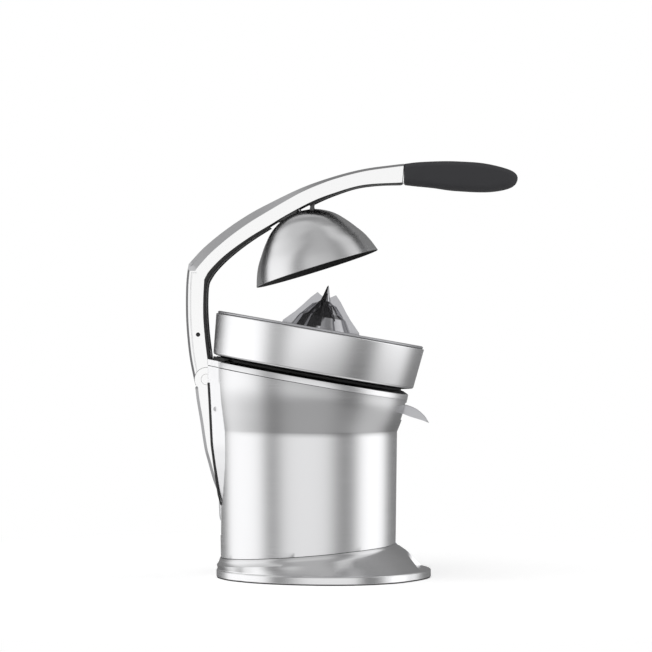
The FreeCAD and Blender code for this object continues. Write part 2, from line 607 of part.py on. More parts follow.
def grip_wire(along, top, foot, beyond):
    x, w = GRIP_X + along, ARM_W + beyond
    b = min(3.8, (top - foot) * 0.3)
    n = min(5.0, w * 0.36)
    half = [(w - n, foot), (w, foot + b * 1.1), (w, top - b), (w - n, top)]
    pts = [V(x, y, z) for y, z in half] + [V(x, -y, z) for y, z in reversed(half)]
    return Part.makePolygon(pts + [pts[0]])


grip = Part.makeLoft([grip_wire(*row) for row in GRIP], True, False)
grip = grip.cut(tang_slab(TANG_GAP))
GRIP_SCREWS = [(GRIP_X + 19.0, 380.2), (GRIP_X + 47.0, 377.6)]
grip = cut(grip, [cyl(3.2, 360, seat, x) for x, seat in GRIP_SCREWS]
           + [cyl(1.8, 370, 388, x) for x, seat in GRIP_SCREWS])
arm_holes = [cyl(1.5, 380, 391, x) for x, seat in GRIP_SCREWS]
save("lever_arm", arm.cut(Part.makeCompound(arm_holes)))
save("grip", grip)
save("grip_screws", Part.makeCompound(
    [fuse([cyl(3.0, seat - 2.2, seat, x), cyl(1.5, seat - 0.6, 390.5, x)]) for x, seat in GRIP_SCREWS]))

# Press dome

DOME_CURVE = [(1.0, 0.0), (0.968, 0.10), (0.932, 0.20), (0.875, 0.325), (0.79, 0.46), (0.67, 0.63),
              (0.5, 0.815), (0.26, 0.95), (0.0, 1.0)]


def dome_body(inset):
    pts = [V(k * (DOME_R - inset), 0, h * (DOME_H - inset)) for k, h in DOME_CURVE]
    curve = Part.BSplineCurve()
    curve.interpolate(pts, FinalTangent=V(-1, 0, 0), InitialTangent=V(-0.25, 0, 1))
    edges = [curve.toShape(), Part.makeLine(pts[-1], V(0, 0, 0)), Part.makeLine(V(0, 0, 0), pts[0])]
    return Part.Face(Part.Wire(edges)).revolve(V(0, 0, 0), V(0, 0, 1), 360)


dome_outer, dome_mid, dome_in = dome_body(0), dome_body(DOME_T), dome_body(DOME_T + LINER_T)
below_rim = cyl(80, -5, 0.01)
SCREW_R = 2.0
screw_hole = cyl(SCREW_R + 0.1, DOME_H - 18, DOME_H + 12)
save("press_dome", domed(cut(dome_outer, [dome_mid, screw_hole])))
liner = cut(dome_mid, [dome_in, cyl(DOME_R + 18, -5, 0.8), screw_hole])
save("dome_liner", domed(liner))

BRACKET_W = 9.0
seat_x, seat_z = DOME_SEAT_X, DOME_SEAT_Z
bracket = span(Part.Face(Part.makePolygon([V(seat_x + x, 0, seat_z + z) for x, z in [
    (-12.3, -19.5), (-15.3, 8.3), (14.7, 22.2), (16.3, -19.5), (-12.3, -19.5)]])), -BRACKET_W, BRACKET_W)
bracket = cut(bracket, [domed(dome_outer), domed(cyl(SCREW_R + 0.05, DOME_H - 18, DOME_H + 32))])
bracket = bracket.common(span(Part.Face(Part.Wire(channel_edges)), -BRACKET_W, BRACKET_W).fuse(
    box(seat_x - 15.4, seat_x + 16.6, -BRACKET_W, BRACKET_W, seat_z - 19.5, seat_z + 9.5)))
bracket = max(bracket.Solids, key=lambda s: s.Volume)
head_top = DOME_H - DOME_T - LINER_T - 0.4
screw = fuse([cyl(SCREW_R, head_top - 0.1, DOME_H + 9.0), cyl(5.0, head_top - 2.2, head_top)])
save("dome_bracket", bracket)
save("dome_screw", domed(screw))

# Bowl, strainer and reamer

HUB_R, HUB_H = 17.0, -22.0
bowl_out = [(0, -BEVEL_H), (BEVEL_R, -BEVEL_H), (BOWL_FOOT_R - 2.0, -BOWL_H - 0.9),
            (BOWL_FOOT_R, -BOWL_H + 1.6), (RIM_R, 0)]
bowl_in = [(RIM_R - BOWL_T, 0), (BOWL_FOOT_R - BOWL_T, -BOWL_H + 1.9),
           (BEVEL_R - 0.6, -BEVEL_H + BOWL_T), (0, -BEVEL_H + BOWL_T)]
bowl = fuse([turned(bowl_out + bowl_in), cyl(HUB_R, -BEVEL_H, HUB_H)])
bowl = cut(bowl, [cyl(HUB_R - 4.0, DRIVE_H, HUB_H - 2.0), cyl(SHAFT_R + 2.0, DRIVE_H, 0),
                  cyl(DRAIN_R, DRIVE_H, -BEVEL_H + 11.6, DRAIN_AT)])
save("juice_bowl", tilted(bowl))
SLEEVE_T = 1.4
sleeve = tube(DRAIN_R + DRAIN_WALL, DRAIN_R - SLEEVE_T, DRIVE_H + 2.0, -BEVEL_H, DRAIN_AT)
sleeve = fuse([sleeve, tube(DRAIN_R, DRAIN_R - SLEEVE_T, -BEVEL_H - 1, -BEVEL_H + BOWL_T + 0.6, DRAIN_AT)])
save("drain_sleeve", tilted(sleeve))


def bowl_inside(h):
    """Inner radius of the bowl's wall at height h."""
    return RIM_R - BOWL_T + BOWL_DRAFT * h / BOWL_H


FLOOR_TOP = STRAINER_FLOOR + STRAINER_T
STR_R = RIM_R - 2.8
st_out = [(16.0, STRAINER_FLOOR), (60.0, STRAINER_FLOOR),
          (bowl_inside(STRAINER_FLOOR + 3.0) - 7.1, STRAINER_FLOOR + 3.0), (bowl_inside(-2.0) - 3.3, -2.0),
          (RIM_R - BOWL_T, 0.0), (RIM_R - 1.2, STRAINER_T), (STR_R, 2.6), (STR_R - 1.2, 2.4),
          (bowl_inside(-1.0) - 4.4, -1.0), (bowl_inside(STRAINER_FLOOR + 4.2) - 8.1, STRAINER_FLOOR + 4.2),
          (60.0, FLOOR_TOP), (16.0, FLOOR_TOP)]
strainer = turned(st_out)
holes = []
for i in range(24):
    hole = box(48.0, 80.0, -1.6, 1.6, STRAINER_FLOOR - 6, STRAINER_FLOOR + 10)
    hole.rotate(V(0, 0, 0), V(0, 0, 1), 15.0 * i)
    holes.append(hole)
strainer = strainer.cut(holes)
collar_part = tube(20.5, 16.0, STRAINER_FLOOR - 3.0, FLOOR_TOP)
strainer = fuse([strainer, collar_part])
save("strainer", tilted(strainer))

REAM_FLOOR = FLOOR_TOP + 0.7
core = [(0, SPIKE_H), (1.0, 43.4), (3.2, 35.0), (3.9, 33.2), (5.0, 29.6), (10.8, 25.0), (13.6, 22.2),
        (18.0, 17.4), (22.8, 13.8), (28.0, 5.0), (33.0, -4.0), (37.2, -12.0), (39.6, REAM_FLOOR),
        (0, REAM_FLOOR)]
reamer = turned(core)
fin_side = [(3.0, 35.0), (3.9, 33.6), (9.1, 36.9), (15.0, 30.6), (21.4, 22.1), (27.4, 14.9),
            (37.5, 4.6), (39.2, -4.0), (39.6, REAM_FLOOR), (3.0, REAM_FLOOR)]
fins = []
for i in range(4):
    fin = slab(fin_side, -1.1, 1.1)
    fin.rotate(V(0, 0, 0), V(0, 0, 1), 90.0 * i)
    fins.append(fin)
rib_side = [(6.0, 28.0), (12.5, 25.8), (20.2, 18.0), (26.0, 11.6), (31.6, 3.2), (36.6, -6.0),
            (39.6, REAM_FLOOR), (6.0, REAM_FLOOR)]
for i in range(4):
    for a in (30, 60):
        rib = slab(rib_side, -0.8, 0.8)
        rib.rotate(V(0, 0, 0), V(0, 0, 1), 90.0 * i + a)
        fins.append(rib)
reamer = fuse([reamer] + fins)
cavity = turned([(0, REAM_FLOOR - 1), (36.6, REAM_FLOOR - 1), (30.0, -4.0), (20.0, 10.0), (10.0, 18.0),
                 (0, 20.0)])
reamer = reamer.cut(cavity)
HEX_W = 8.4
hub = fuse([turned([(0, 17.0), (9.0, 17.0), (12.6, 13.0), (15.2, 8.0), (15.2, REAM_FLOOR),
                    (12.5, REAM_FLOOR), (12.5, STRAINER_FLOOR - 3.0), (8.0, STRAINER_FLOOR - 3.0), (8.0, -2.0),
                    (0, -2.0)])])
hub = cut(hub, [hexagon(HEX_W + 1.0, -30.0, 6.0)])
SPIDER_R = 32.8
spider = box(-SPIDER_R, SPIDER_R, -1.0, 1.0, REAM_FLOOR + 0.4, REAM_FLOOR + 6.0)
cross = spider.copy()
cross.rotate(V(0, 0, 0), V(0, 0, 1), 90)
hub = fuse([hub, spider.cut(cyl(12.0, -30, 20)), cross.cut(cyl(12.0, -30, 20))])
save("reamer_cone", tilted(reamer))
save("reamer_hub", tilted(hub))

# Drive


def gear(teeth, module, z0, z1, bore, x=0.0, y=0.0, phase=0.0, thin=0.12):
    rp = teeth * module / 2
    ra, rf = rp + 0.92 * module, rp - 1.2 * module
    step = 2 * math.pi / teeth
    half = step / 4 - thin / rp
    slope = math.tan(math.radians(20))
    pts = []
    for i in range(teeth):
        c = phase + i * step
        for r, sgn in ((rf, -1), (ra, -1), (ra, 1), (rf, 1)):
            h = half - (r - rp) * slope / rp
            pts.append(V(r * math.cos(c + sgn * h), r * math.sin(c + sgn * h), z0))
    body = Part.Face(Part.makePolygon(pts + [pts[0]])).extrude(V(0, 0, z1 - z0))
    body = body.cut(cyl(bore, z0 - 1, z1 + 1))
    body.translate(V(x, y, 0))
    return body


reach = (STAGE1[0] + STAGE1[1]) * STAGE1[2] / 2
swing = math.atan2(IDLER_AT[1], IDLER_AT[0]) + math.pi - math.radians(2.0)
MOTOR_AT = (IDLER_AT[0] + reach * math.cos(swing), IDLER_AT[1] + reach * math.sin(swing))
out_angle = math.atan2(IDLER_AT[1], IDLER_AT[0])
mot_angle = math.atan2(MOTOR_AT[1] - IDLER_AT[1], MOTOR_AT[0] - IDLER_AT[0])

GEAR_TOP, GEAR_T = DRIVE_H - 7.0, 8.0
SMALL_FOOT, LARGE_TOP, LARGE_T = GEAR_TOP - GEAR_T - 0.4, GEAR_TOP - 15.0, 5.6
output_gear = gear(STAGE2[1], STAGE2[2], GEAR_TOP - GEAR_T, GEAR_TOP, SHAFT_R, 0, 0, out_angle)
small = gear(STAGE2[0], STAGE2[2], SMALL_FOOT, GEAR_TOP + 0.4, PIN_R + RUN, IDLER_AT[0], IDLER_AT[1],
             out_angle + math.pi + math.pi / STAGE2[0])
large = gear(STAGE1[1], STAGE1[2], LARGE_TOP - LARGE_T, LARGE_TOP, PIN_R + RUN, IDLER_AT[0], IDLER_AT[1],
             mot_angle)
NECK_R = 6.0
neck = tube(NECK_R, PIN_R + RUN, LARGE_TOP, SMALL_FOOT, IDLER_AT[0], IDLER_AT[1])
PINION_TOP = LARGE_TOP + 0.8
pinion = gear(STAGE1[0], STAGE1[2], LARGE_TOP - LARGE_T - 1.0, PINION_TOP, MOTOR_SHAFT_R, MOTOR_AT[0], MOTOR_AT[1],
              mot_angle + math.pi + math.pi / STAGE1[0])
save("output_gear", tilted(output_gear))
save("idler_gear", tilted(fuse([small, large, neck])))
save("motor_pinion", tilted(pinion))

shaft = fuse([cyl(SHAFT_R, MID_H - MID_T + 0.4, -20.0), hexagon(HEX_W, -20.0, -3.4),
              cyl(SHAFT_R + 2.4, GEAR_TOP, GEAR_TOP + 2.4)])
save("drive_shaft", tilted(shaft))
save("upper_bearing", tilted(tube(BEARING_R, SHAFT_R + RUN, DRIVE_H, DRIVE_H + 6.4)))
save("shaft_seal", tilted(tube(SHAFT_R + 4.0, SHAFT_R + RUN, -BEVEL_H, -BEVEL_H + 2.4)))

cx, cy = CASE_AT
COVER_FOOT = DRIVE_H - COVER_T
MID_FOOT = MID_H - MID_T
case = cyl(CASE_R + CASE_T, CASE_FLOOR, COVER_FOOT, cx, cy).cut(cyl(CASE_R, CASE_FLOOR + 3.0, COVER_FOOT + 1, cx, cy))
case = fuse([case, tube(CASE_R, CASE_R - 3.0, CASE_FLOOR + 3.0, MID_FOOT, cx, cy).cut(
    cyl(28.0, CASE_FLOOR + 1, DRIVE_H, *IDLER_AT))])
case = cut(case, [cyl(MOTOR_SHAFT_R + 1.7, CASE_FLOOR - 4, CASE_FLOOR + 11, *MOTOR_AT),
                  cyl(PIN_R, CASE_FLOOR - 4, CASE_FLOOR + 11, *IDLER_AT)])
save("gear_case", tilted(case))
cover = cyl(CASE_R + CASE_T, COVER_FOOT, DRIVE_H, cx, cy)
cover = cut(cover, [cyl(SHAFT_R + 3.4, COVER_FOOT - 9, DRIVE_H + 9), cyl(PIN_R, COVER_FOOT - 9, DRIVE_H + 9, *IDLER_AT)])
save("gear_cover", tilted(cover))
LOWER_R = 8.0
mid = cyl(CASE_R, MID_FOOT, MID_H, cx, cy)
mid = cut(mid, [cyl(NECK_R + 1.4, MID_FOOT - 9, MID_H + 9, *IDLER_AT), cyl(LOWER_R, MID_FOOT - 9, MID_H + 9)])
save("gear_midplate", tilted(mid))
save("lower_bearing", tilted(tube(LOWER_R, SHAFT_R + RUN, MID_FOOT, MID_H)))
save("idler_pin", tilted(cyl(PIN_R, CASE_FLOOR + 0.5, DRIVE_H - 0.4, *IDLER_AT)))

mx, my = MOTOR_AT
CAN_T = 1.6
MOTOR_FOOT = CASE_FLOOR - MOTOR_L
CAP_T = 4.0
can = cyl(MOTOR_R, MOTOR_FOOT, CASE_FLOOR, mx, my).cut(cyl(MOTOR_R - CAN_T, MOTOR_FOOT - 5, CASE_FLOOR - 2, mx, my))
can = cut(can, [cyl(MOTOR_SHAFT_R + 3.5, CASE_FLOOR - 4, CASE_FLOOR + 1, mx, my)])
save("motor_can", tilted(can))
end = cyl(MOTOR_R - CAN_T, MOTOR_FOOT, MOTOR_FOOT + CAP_T, mx, my)
end = end.cut(cyl(MOTOR_SHAFT_R + RUN, MOTOR_FOOT - 9, MOTOR_FOOT + 9, mx, my))
save("motor_end_cap", tilted(end))
ROTOR_R = MOTOR_R - 6.0
rotor = fuse([cyl(MOTOR_SHAFT_R, MOTOR_FOOT + 0.5, PINION_TOP - 0.2, mx, my),
              cyl(ROTOR_R, MOTOR_FOOT + 11.0, CASE_FLOOR - 9.0, mx, my),
              cyl(9.0, MOTOR_FOOT + 6.0, MOTOR_FOOT + 11.0, mx, my)])
save("motor_rotor", tilted(rotor))
magnets = tube(MOTOR_R - CAN_T, ROTOR_R + 0.6, MOTOR_FOOT + 10.0, CASE_FLOOR - 8.0, mx, my)
magnets = magnets.cut(box(mx - 200, mx + 200, my - 6, my + 6, MOTOR_FOOT - 9, CASE_FLOOR))
save("motor_magnets", tilted(magnets))

# Control board and cord inlet

BOARD_Y, BOARD_Z, BOARD_T = BODY_R_FOOT - 44.6, PLATE_Z + 8.4, 1.6
top = BOARD_Z + BOARD_T
board = box(-20, 36, BOARD_Y, BOARD_Y + 30, BOARD_Z, top)
legs = [cyl(2.5, PLATE_Z, BOARD_Z, x, BOARD_Y + y) for x in (-16, 32) for y in (4, 25)]
parts_up = [box(-14, 4, BOARD_Y + 6, BOARD_Y + 20, top, top + 15.4), cyl(6, top, top + 20.4, 18, BOARD_Y + 14),
            box(26, 34, BOARD_Y + 4, BOARD_Y + 12, top, top + 7.4)]
save("control_board", fuse([board] + parts_up))
save("board_standoffs", Part.makeCompound(legs))

gland_base = GLAND_AXIS * GLAND_AT + V(0, 0, GLAND_Z)
gland = fuse([Part.makeCylinder(GLAND_R, 14, gland_base, GLAND_AXIS),
              Part.makeCylinder(GLAND_R + 3.6, 2.0, gland_base + GLAND_AXIS * 4.2, GLAND_AXIS)])
gland = gland.cut(Part.makeCylinder(CORD_R, 60, gland_base - GLAND_AXIS * 10, GLAND_AXIS))
save("cord_gland", gland)

# Spout: an open trough on a hinge pin under the bowl's drain

sx, sz = SPOUT_AT
drain_x, drain_z = on_axis(DRIVE_H + 2.0, DRAIN_AT)
trough_rear, trough_top = drain_x - DRAIN_R + 0.4, drain_z - 1.4
lip_line = [(4.0, -2.5), (10.7, -5.1), (17.5, -7.2), (23.5, -9.0), (28.2, -10.9), (29.0, -11.6)]
side_line = [(27.2, -8.5), (25.1, -5.3), (22.0, -2.2), (17.7, 1.3), (14.0, 3.2), (11.0, 4.5), (6.9, 5.7)]


def from_spout(points, lift=0.0):
    return [(sx + x, sz + z + lift) for x, z in points]


rear_foot = (trough_rear, sz + 3.1)
trough = [(trough_rear, trough_top), rear_foot] + from_spout(lip_line) + from_spout(side_line)
skirt_x, skirt_z = on_axis(DRIVE_H + 1.0, DECK_R - DECK_SKIRT_T)
trough.append((skirt_x - 0.6, skirt_z - 0.6))
outer_trough = slab(trough, -SPOUT_W, SPOUT_W)
inner_trough = slab([(trough_rear + SPOUT_T, rear_foot[1] + 1.4)] + from_spout(lip_line, 1.4)
                    + [(sx + 32.0, sz + 24.5), (trough_rear + SPOUT_T, sz + 24.5)],
                    -SPOUT_W + SPOUT_T, SPOUT_W - SPOUT_T)
nose = cyl(26.0, sz - 30, sz + 30, sx + 3.5)
spout = outer_trough.common(fuse([nose, box(sx - 38, sx + 8, -30, 30, sz - 60, sz + 40)]))
PIVOT_X, PIVOT_Z = sx - 8.0, sz + 3.2
SPOUT_PIN_R = 1.6
ears = [bar(3.6, PIVOT_X, PIVOT_Z, s * SPOUT_W - 1.0, s * SPOUT_W + 1.0) for s in (-1, 1)]
spout = fuse([spout] + ears).cut(bar(SPOUT_PIN_R + RUN, PIVOT_X, PIVOT_Z, -20, 20))
save("spout", spout.cut(inner_trough))
pins = [bar(SPOUT_PIN_R, PIVOT_X, PIVOT_Z, s * (SPOUT_W + 2.6) - 3.2, s * (SPOUT_W + 2.6) + 3.2)
        for s in (-1, 1)]
save("spout_pins", Part.makeCompound(pins))
arms = [box(PIVOT_X - 4, PIVOT_X + 4, s * (SPOUT_W + 3.5) - 1.6, s * (SPOUT_W + 3.5) + 1.6, sz - 1.0, sz + 16)
        for s in (-1, 1)]
arms = [a.cut(bar(SPOUT_PIN_R, PIVOT_X, PIVOT_Z, -20, 20)) for a in arms]
deck_under = tilted(cyl(DECK_R - DECK_SKIRT_T - 0.2, DRIVE_H - 33, DECK_UNDER))
save("spout_bracket", Part.makeCompound([a.common(deck_under) for a in arms]))
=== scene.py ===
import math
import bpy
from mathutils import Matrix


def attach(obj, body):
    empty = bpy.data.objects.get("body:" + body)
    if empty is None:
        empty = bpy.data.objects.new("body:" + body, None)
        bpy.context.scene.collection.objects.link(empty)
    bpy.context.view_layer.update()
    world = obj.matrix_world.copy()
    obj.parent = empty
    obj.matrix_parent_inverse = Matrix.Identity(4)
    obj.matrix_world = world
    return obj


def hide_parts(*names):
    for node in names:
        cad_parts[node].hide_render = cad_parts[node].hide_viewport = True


bl_info = {
    "name": "Lever citrus press",
    "version": (1, 0, 0),
    "blender": (4, 5, 0),
    "location": "3D View > Sidebar > Citrus press",
    "description": "Finishes and shapes for a motorised lever citrus press",
    "category": "Object",
}

import bmesh
import bpy
from mathutils import Matrix, Vector

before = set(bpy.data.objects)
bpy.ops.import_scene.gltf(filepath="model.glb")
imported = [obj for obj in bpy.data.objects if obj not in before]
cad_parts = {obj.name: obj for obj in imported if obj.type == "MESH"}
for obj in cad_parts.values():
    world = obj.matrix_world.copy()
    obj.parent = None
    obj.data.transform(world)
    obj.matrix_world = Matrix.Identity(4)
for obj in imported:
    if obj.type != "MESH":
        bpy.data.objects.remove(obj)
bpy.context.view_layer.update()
MM = 0.001

# Lever outlines in the side view, millimetres from the floor under the body's axis.
REAR_OUTER = [(-108.9, 185.3), (-110.4, 191.2), (-114.2, 209.8), (-116.5, 228.3), (-117.9, 246.9),
              (-118.3, 265.5), (-117.9, 284.0), (-116.5, 298.1), (-115.4, 302.7)]
TOP_OUTER = [(-115.4, 302.7), (-100.6, 318.5), (-79.8, 335.5), (-57.5, 350.4), (-35.3, 362.3),
             (-5.5, 376.4), (24.1, 386.7), (53.8, 394.2), (83.5, 398.2), (93.0, 399.2)]
REAR_INNER = [(-95.6, 205.0), (-97.4, 216.3), (-99.3, 233.1), (-100.7, 251.5), (-100.7, 269.9),
              (-99.8, 287.4)]
TOP_INNER = [(-99.8, 287.4), (-94.7, 296.2), (-79.8, 311.1), (-57.5, 327.4), (-35.3, 340.8),
             (-20.6, 349.7), (3.3, 362.3), (24.1, 370.4), (53.8, 378.6), (91.5, 380.9)]
REAR_LIP = [(-93.4, 209.0), (-93.7, 215.3), (-96.5, 237.7), (-97.9, 260.8), (-97.4, 279.4),
            (-95.7, 285.9)]
TOP_LIP = [(-95.7, 285.9), (-88.8, 296.2), (-75.4, 309.6), (-57.5, 323.7), (-36.8, 337.1),
           (-18.0, 348.2), (4.7, 360.2), (24.1, 369.0), (46.4, 376.4), (68.7, 379.4), (89.5, 379.9)]
BEVEL = [(-116.0, 9.2), (-47.0, 7.1), (-8.0, 4.3), (21.0, 2.9), (93.0, 2.4)]
LINK_REAR = [(-109.0, 183.4), (-107.5, 171.0), (-104.2, 151.6), (-100.1, 125.1), (-96.8, 112.3),
             (-91.8, 94.5), (-88.2, 85.1), (-86.3, 79.4), (-85.7, 66.3), (-84.2, 54.6), (-74.0, 38.0)]
LINK_FRONT = [(-58.4, 42.0), (-66.5, 60.0), (-76.0, 90.0), (-84.0, 120.0), (-91.4, 150.0),
              (-92.4, 165.0), (-89.0, 183.4)]
# Spine rows: height, rear face, edge half-width, outer line, outer half-width.
SPINE = [(216.0, -97.0, 20.2, -83.5, 44.0), (188.0, -95.9, 20.2, -82.8, 44.6),
         (171.0, -94.9, 20.2, -82.0, 42.4), (141.0, -93.4, 20.2, -78.0, 38.0),
         (128.0, -92.7, 20.2, -77.8, 37.2), (108.0, -90.1, 20.0, -77.8, 36.0),
         (80.0, -86.0, 19.4, -79.4, 29.0), (70.0, -83.2, 19.0, -79.0, 25.0)]
# Grip rows: station, top, underside, half-width.
GRIP = [(93.0, 399.2, 379.9, 15.6), (105.1, 400.7, 378.5, 15.8), (121.0, 401.5, 376.9, 16.2),
        (137.3, 401.7, 374.5, 16.6), (153.1, 401.0, 373.3, 16.8), (165.5, 400.1, 372.7, 16.8),
        (177.3, 398.2, 372.9, 16.4), (189.5, 395.2, 374.6, 15.2), (197.4, 392.4, 377.2, 13.0),
        (201.6, 389.3, 380.8, 9.0), (202.8, 386.6, 384.4, 4.4)]
BASE_PLAN = [(-88.7, 0), (-85.6, 24), (-72.6, 51.8), (-52, 73), (-24, 89), (14, 98), (52, 94.5),
             (84, 76), (103, 50), (114.6, 25), (118.9, 0)]
FLARE = [((86.2, 140.5), (-86.2, 140.5)), ((90.4, 151.0), (-89.5, 160.5)),
         ((94.0, 162.0), (-92.6, 182.6)), ((95.94, 171.1), (-93.5, 203.9))]
DOME_CURVE = [(1.0, 0.0), (0.968, 0.10), (0.932, 0.20), (0.875, 0.325), (0.79, 0.46), (0.67, 0.63),
              (0.5, 0.815), (0.26, 0.95), (0.0, 1.0)]
# The camera: focal length, distance to the press and height.
FOCAL, REACH, EYE = 138.3, 2.43, 0.2195
# The room's softboxes: direction and half-width in degrees, and level.
SOFTBOXES = [(-90, 25, 0.9), (0, 25, 0.7), (95, 15, 1.0)]
SOFT_EDGE = 22
ROOM_STRENGTH = 1.45
GLOOM = 0.15
# Strength of the softboxes and of the gaps between them, by sine of elevation.
HEIGHTS = [(-0.85, 0.5, 3.0), (-0.4, 0.4, 0.6), (-0.1, 1.0, 1.0), (0.45, 0.8, 1.0), (0.8, 0.5, 1.5)]


def room_marks(boxes, gaps):
    """Levels round the horizon for softboxes and gaps of the given strengths."""
    marks = [(-180, GLOOM * gaps)]
    for middle, half, level in SOFTBOXES:
        marks += [(middle - half - SOFT_EDGE, GLOOM * gaps), (middle - half, level * boxes),
                  (middle + half, level * boxes), (middle + half + SOFT_EDGE, GLOOM * gaps)]
    return marks + [(180, GLOOM * gaps)]


def length(name, description, default):
    return bpy.props.FloatProperty(name=name, description=description, default=default, unit="LENGTH")


def tint(name, description, default):
    return bpy.props.FloatVectorProperty(name=name, description=description, default=default,
                                         subtype="COLOR", size=3, min=0.0, max=1.0)


class PressBodySizes(bpy.types.PropertyGroup):
    foot_radius: length("Body foot radius", "Radius of the steel body at its foot", 84.6 * MM)
    top_radius: length("Body top radius", "Radius of the steel body at its crease", 86.2 * MM)
    crease: length("Crease height", "Height of the crease under the flare", 140.5 * MM)
    wall: length("Body wall", "Thickness of the steel body", 1.6 * MM)
    slot: length("Slot half-width", "Half the width of the slot that the links run in", 17.5 * MM)
    slot_foot: length("Slot foot", "Height of the lower end of the slot", 42.0 * MM)
    flange: length("Flange height", "Height of the base's upright edge", 8.4 * MM)
    skirt: length("Skirt height", "Height where body and base meet, on the axis", 26.2 * MM)


class PressBowlSizes(bpy.types.PropertyGroup):
    centre: bpy.props.FloatVectorProperty(name="Rim centre", description="Centre of the bowl's rim",
                                          default=(11.74 * MM, 0.0, 237.9 * MM), unit="LENGTH")
    tilt: bpy.props.FloatProperty(name="Tilt", description="Forward tilt of the bowl",
                                  default=math.radians(10.0), unit="ROTATION")
    rim: length("Rim radius", "Outer radius of the bowl at its rim", 102.2 * MM)
    foot: length("Foot radius", "Outer radius of the bowl at its lower edge", 98.4 * MM)
    height: length("Wall height", "Height of the bowl's outer wall", 38.9 * MM)


class PressLeverSizes(bpy.types.PropertyGroup):
    half: length("Lever half-width", "Half the width of the lever", 16.0 * MM)
    bevel: length("Bevel", "Depth of the bevel along the lever's outer edges", 2.9 * MM)
    wall: length("Lever wall", "Thickness of the lever's walls", 3.2 * MM)
    dome_radius: length("Dome radius", "Radius of the press dome at its rim", 61.6 * MM)
    dome_height: length("Dome height", "Height of the press dome", 58.5 * MM)


class PressFinish(bpy.types.PropertyGroup):
    steel: tint("Brushed steel", "Colour of the brushed body, base and bowl", (0.80, 0.80, 0.81))
    polish: tint("Polished steel", "Colour of the lever's polished sides", (0.97, 0.97, 0.97))
    bevels: tint("Lever bevels", "Colour of the lever's satin bevels", (0.58, 0.58, 0.59))
    black: tint("Black plastic", "Colour of liners and seals", (0.012, 0.012, 0.013))
    grip: tint("Grip", "Colour of the soft grip", (0.030, 0.030, 0.032))
    floor: tint("Floor", "Colour of the floor", (0.92, 0.92, 0.92))


# Meshes

def through(points, count):
    """Even stations along a smooth curve through the points."""
    pts = [Vector(p) for p in points]
    dense = []
    for i in range(len(pts) - 1):
        p1, p2 = pts[i], pts[i + 1]
        p0 = pts[i - 1] if i else p1 * 2 - p2
        p3 = pts[i + 2] if i + 2 < len(pts) else p2 * 2 - p1
        for k in range(12):
            t = k / 12
            dense.append(0.5 * (2 * p1 + (p2 - p0) * t + (2 * p0 - 5 * p1 + 4 * p2 - p3) * t * t
                                + (3 * p1 - p0 - 3 * p2 + p3) * t ** 3))
    dense.append(pts[-1])
    run = [0.0]
    for a, b in zip(dense, dense[1:]):
        run.append(run[-1] + (b - a).length)
    out, j = [], 0
    for i in range(count):
        s = run[-1] * i / (count - 1)
        while j < len(run) - 2 and run[j + 1] < s:
            j += 1
        span = run[j + 1] - run[j] or 1.0
        out.append(dense[j].lerp(dense[j + 1], (s - run[j]) / span))
    return out


def rounded(profile, radii, steps=4):
    """The profile with an arc of the given radius at each inner corner."""
    out = [Vector(profile[0])]
    for i in range(1, len(profile) - 1):
        a, b, c = (Vector(profile[k]) for k in (i - 1, i, i + 1))
        r = radii[i] if isinstance(radii, (list, tuple)) else radii
        u, v = (a - b), (c - b)
        reach = min(r, u.length * 0.45, v.length * 0.45)
        if r <= 0 or reach < 1e-6:
            out.append(b)
            continue
        p, q = b + u.normalized() * reach, b + v.normalized() * reach
        for k in range(steps + 1):
            t = k / steps
            out.append((1 - t) ** 2 * p + 2 * t * (1 - t) * b + t * t * q)
    out.append(Vector(profile[-1]))
    return out


def build(name, verts, faces, material, body, stands_for=(), place=None, sharp=35.0):
    mesh = bpy.data.meshes.new(name)
    mesh.from_pydata([tuple(v) for v in verts], [], faces)
    bm = bmesh.new()
    bm.from_mesh(mesh)
    bmesh.ops.remove_doubles(bm, verts=bm.verts, dist=1e-6)
    bmesh.ops.dissolve_degenerate(bm, edges=bm.edges, dist=1e-7)
    bmesh.ops.recalc_face_normals(bm, faces=bm.faces)
    if place is not None:
        bm.transform(place)
    bm.to_mesh(mesh)
    bm.free()
    obj = bpy.data.objects.new(name, mesh)
    bpy.context.scene.collection.objects.link(obj)
    finish_mesh(obj, sharp)
    for m in (material if isinstance(material, (list, tuple)) else [material]):
        mesh.materials.append(m)
    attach(obj, body)
    if stands_for:
        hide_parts(*stands_for)
    return obj


def finish_mesh(obj, sharp):
    for p in obj.data.polygons:
        p.use_smooth = True
    obj.data.set_sharp_from_angle(angle=math.radians(sharp))


def ring_faces(rows, cols, closed_cols=True, closed_rows=False):
    faces = []
    for i in range(rows if closed_rows else rows - 1):
        a, b = i * cols, ((i + 1) % rows) * cols
        for j in range(cols if closed_cols else cols - 1):
            k = (j + 1) % cols
            faces.append((a + j, a + k, b + k, b + j))
    return faces


def lathe(name, profile, material, body, stands_for=(), place=None, segments=160, sharp=35.0,
          closed=True):
    verts = []
    for r, z in profile:
        for j in range(segments):
            a = math.tau * j / segments
            verts.append((r * math.cos(a), r * math.sin(a), z))
    faces = ring_faces(len(profile), segments, True, closed)
    return build(name, verts, faces, material, body, stands_for, place, sharp)


def soften(obj, width, segments=2, angle=40.0):
    mod = obj.modifiers.new("edge", "BEVEL")
    mod.width, mod.segments = width, segments
    mod.limit_method, mod.angle_limit = "ANGLE", math.radians(angle)
    mod.harden_normals = False
    apply(obj)
    finish_mesh(obj, 35.0)


def apply(obj):
    graph = bpy.context.evaluated_depsgraph_get()
    mesh = bpy.data.meshes.new_from_object(obj.evaluated_get(graph))
    obj.modifiers.clear()
    old = obj.data
    obj.data = mesh
    bpy.data.meshes.remove(old)


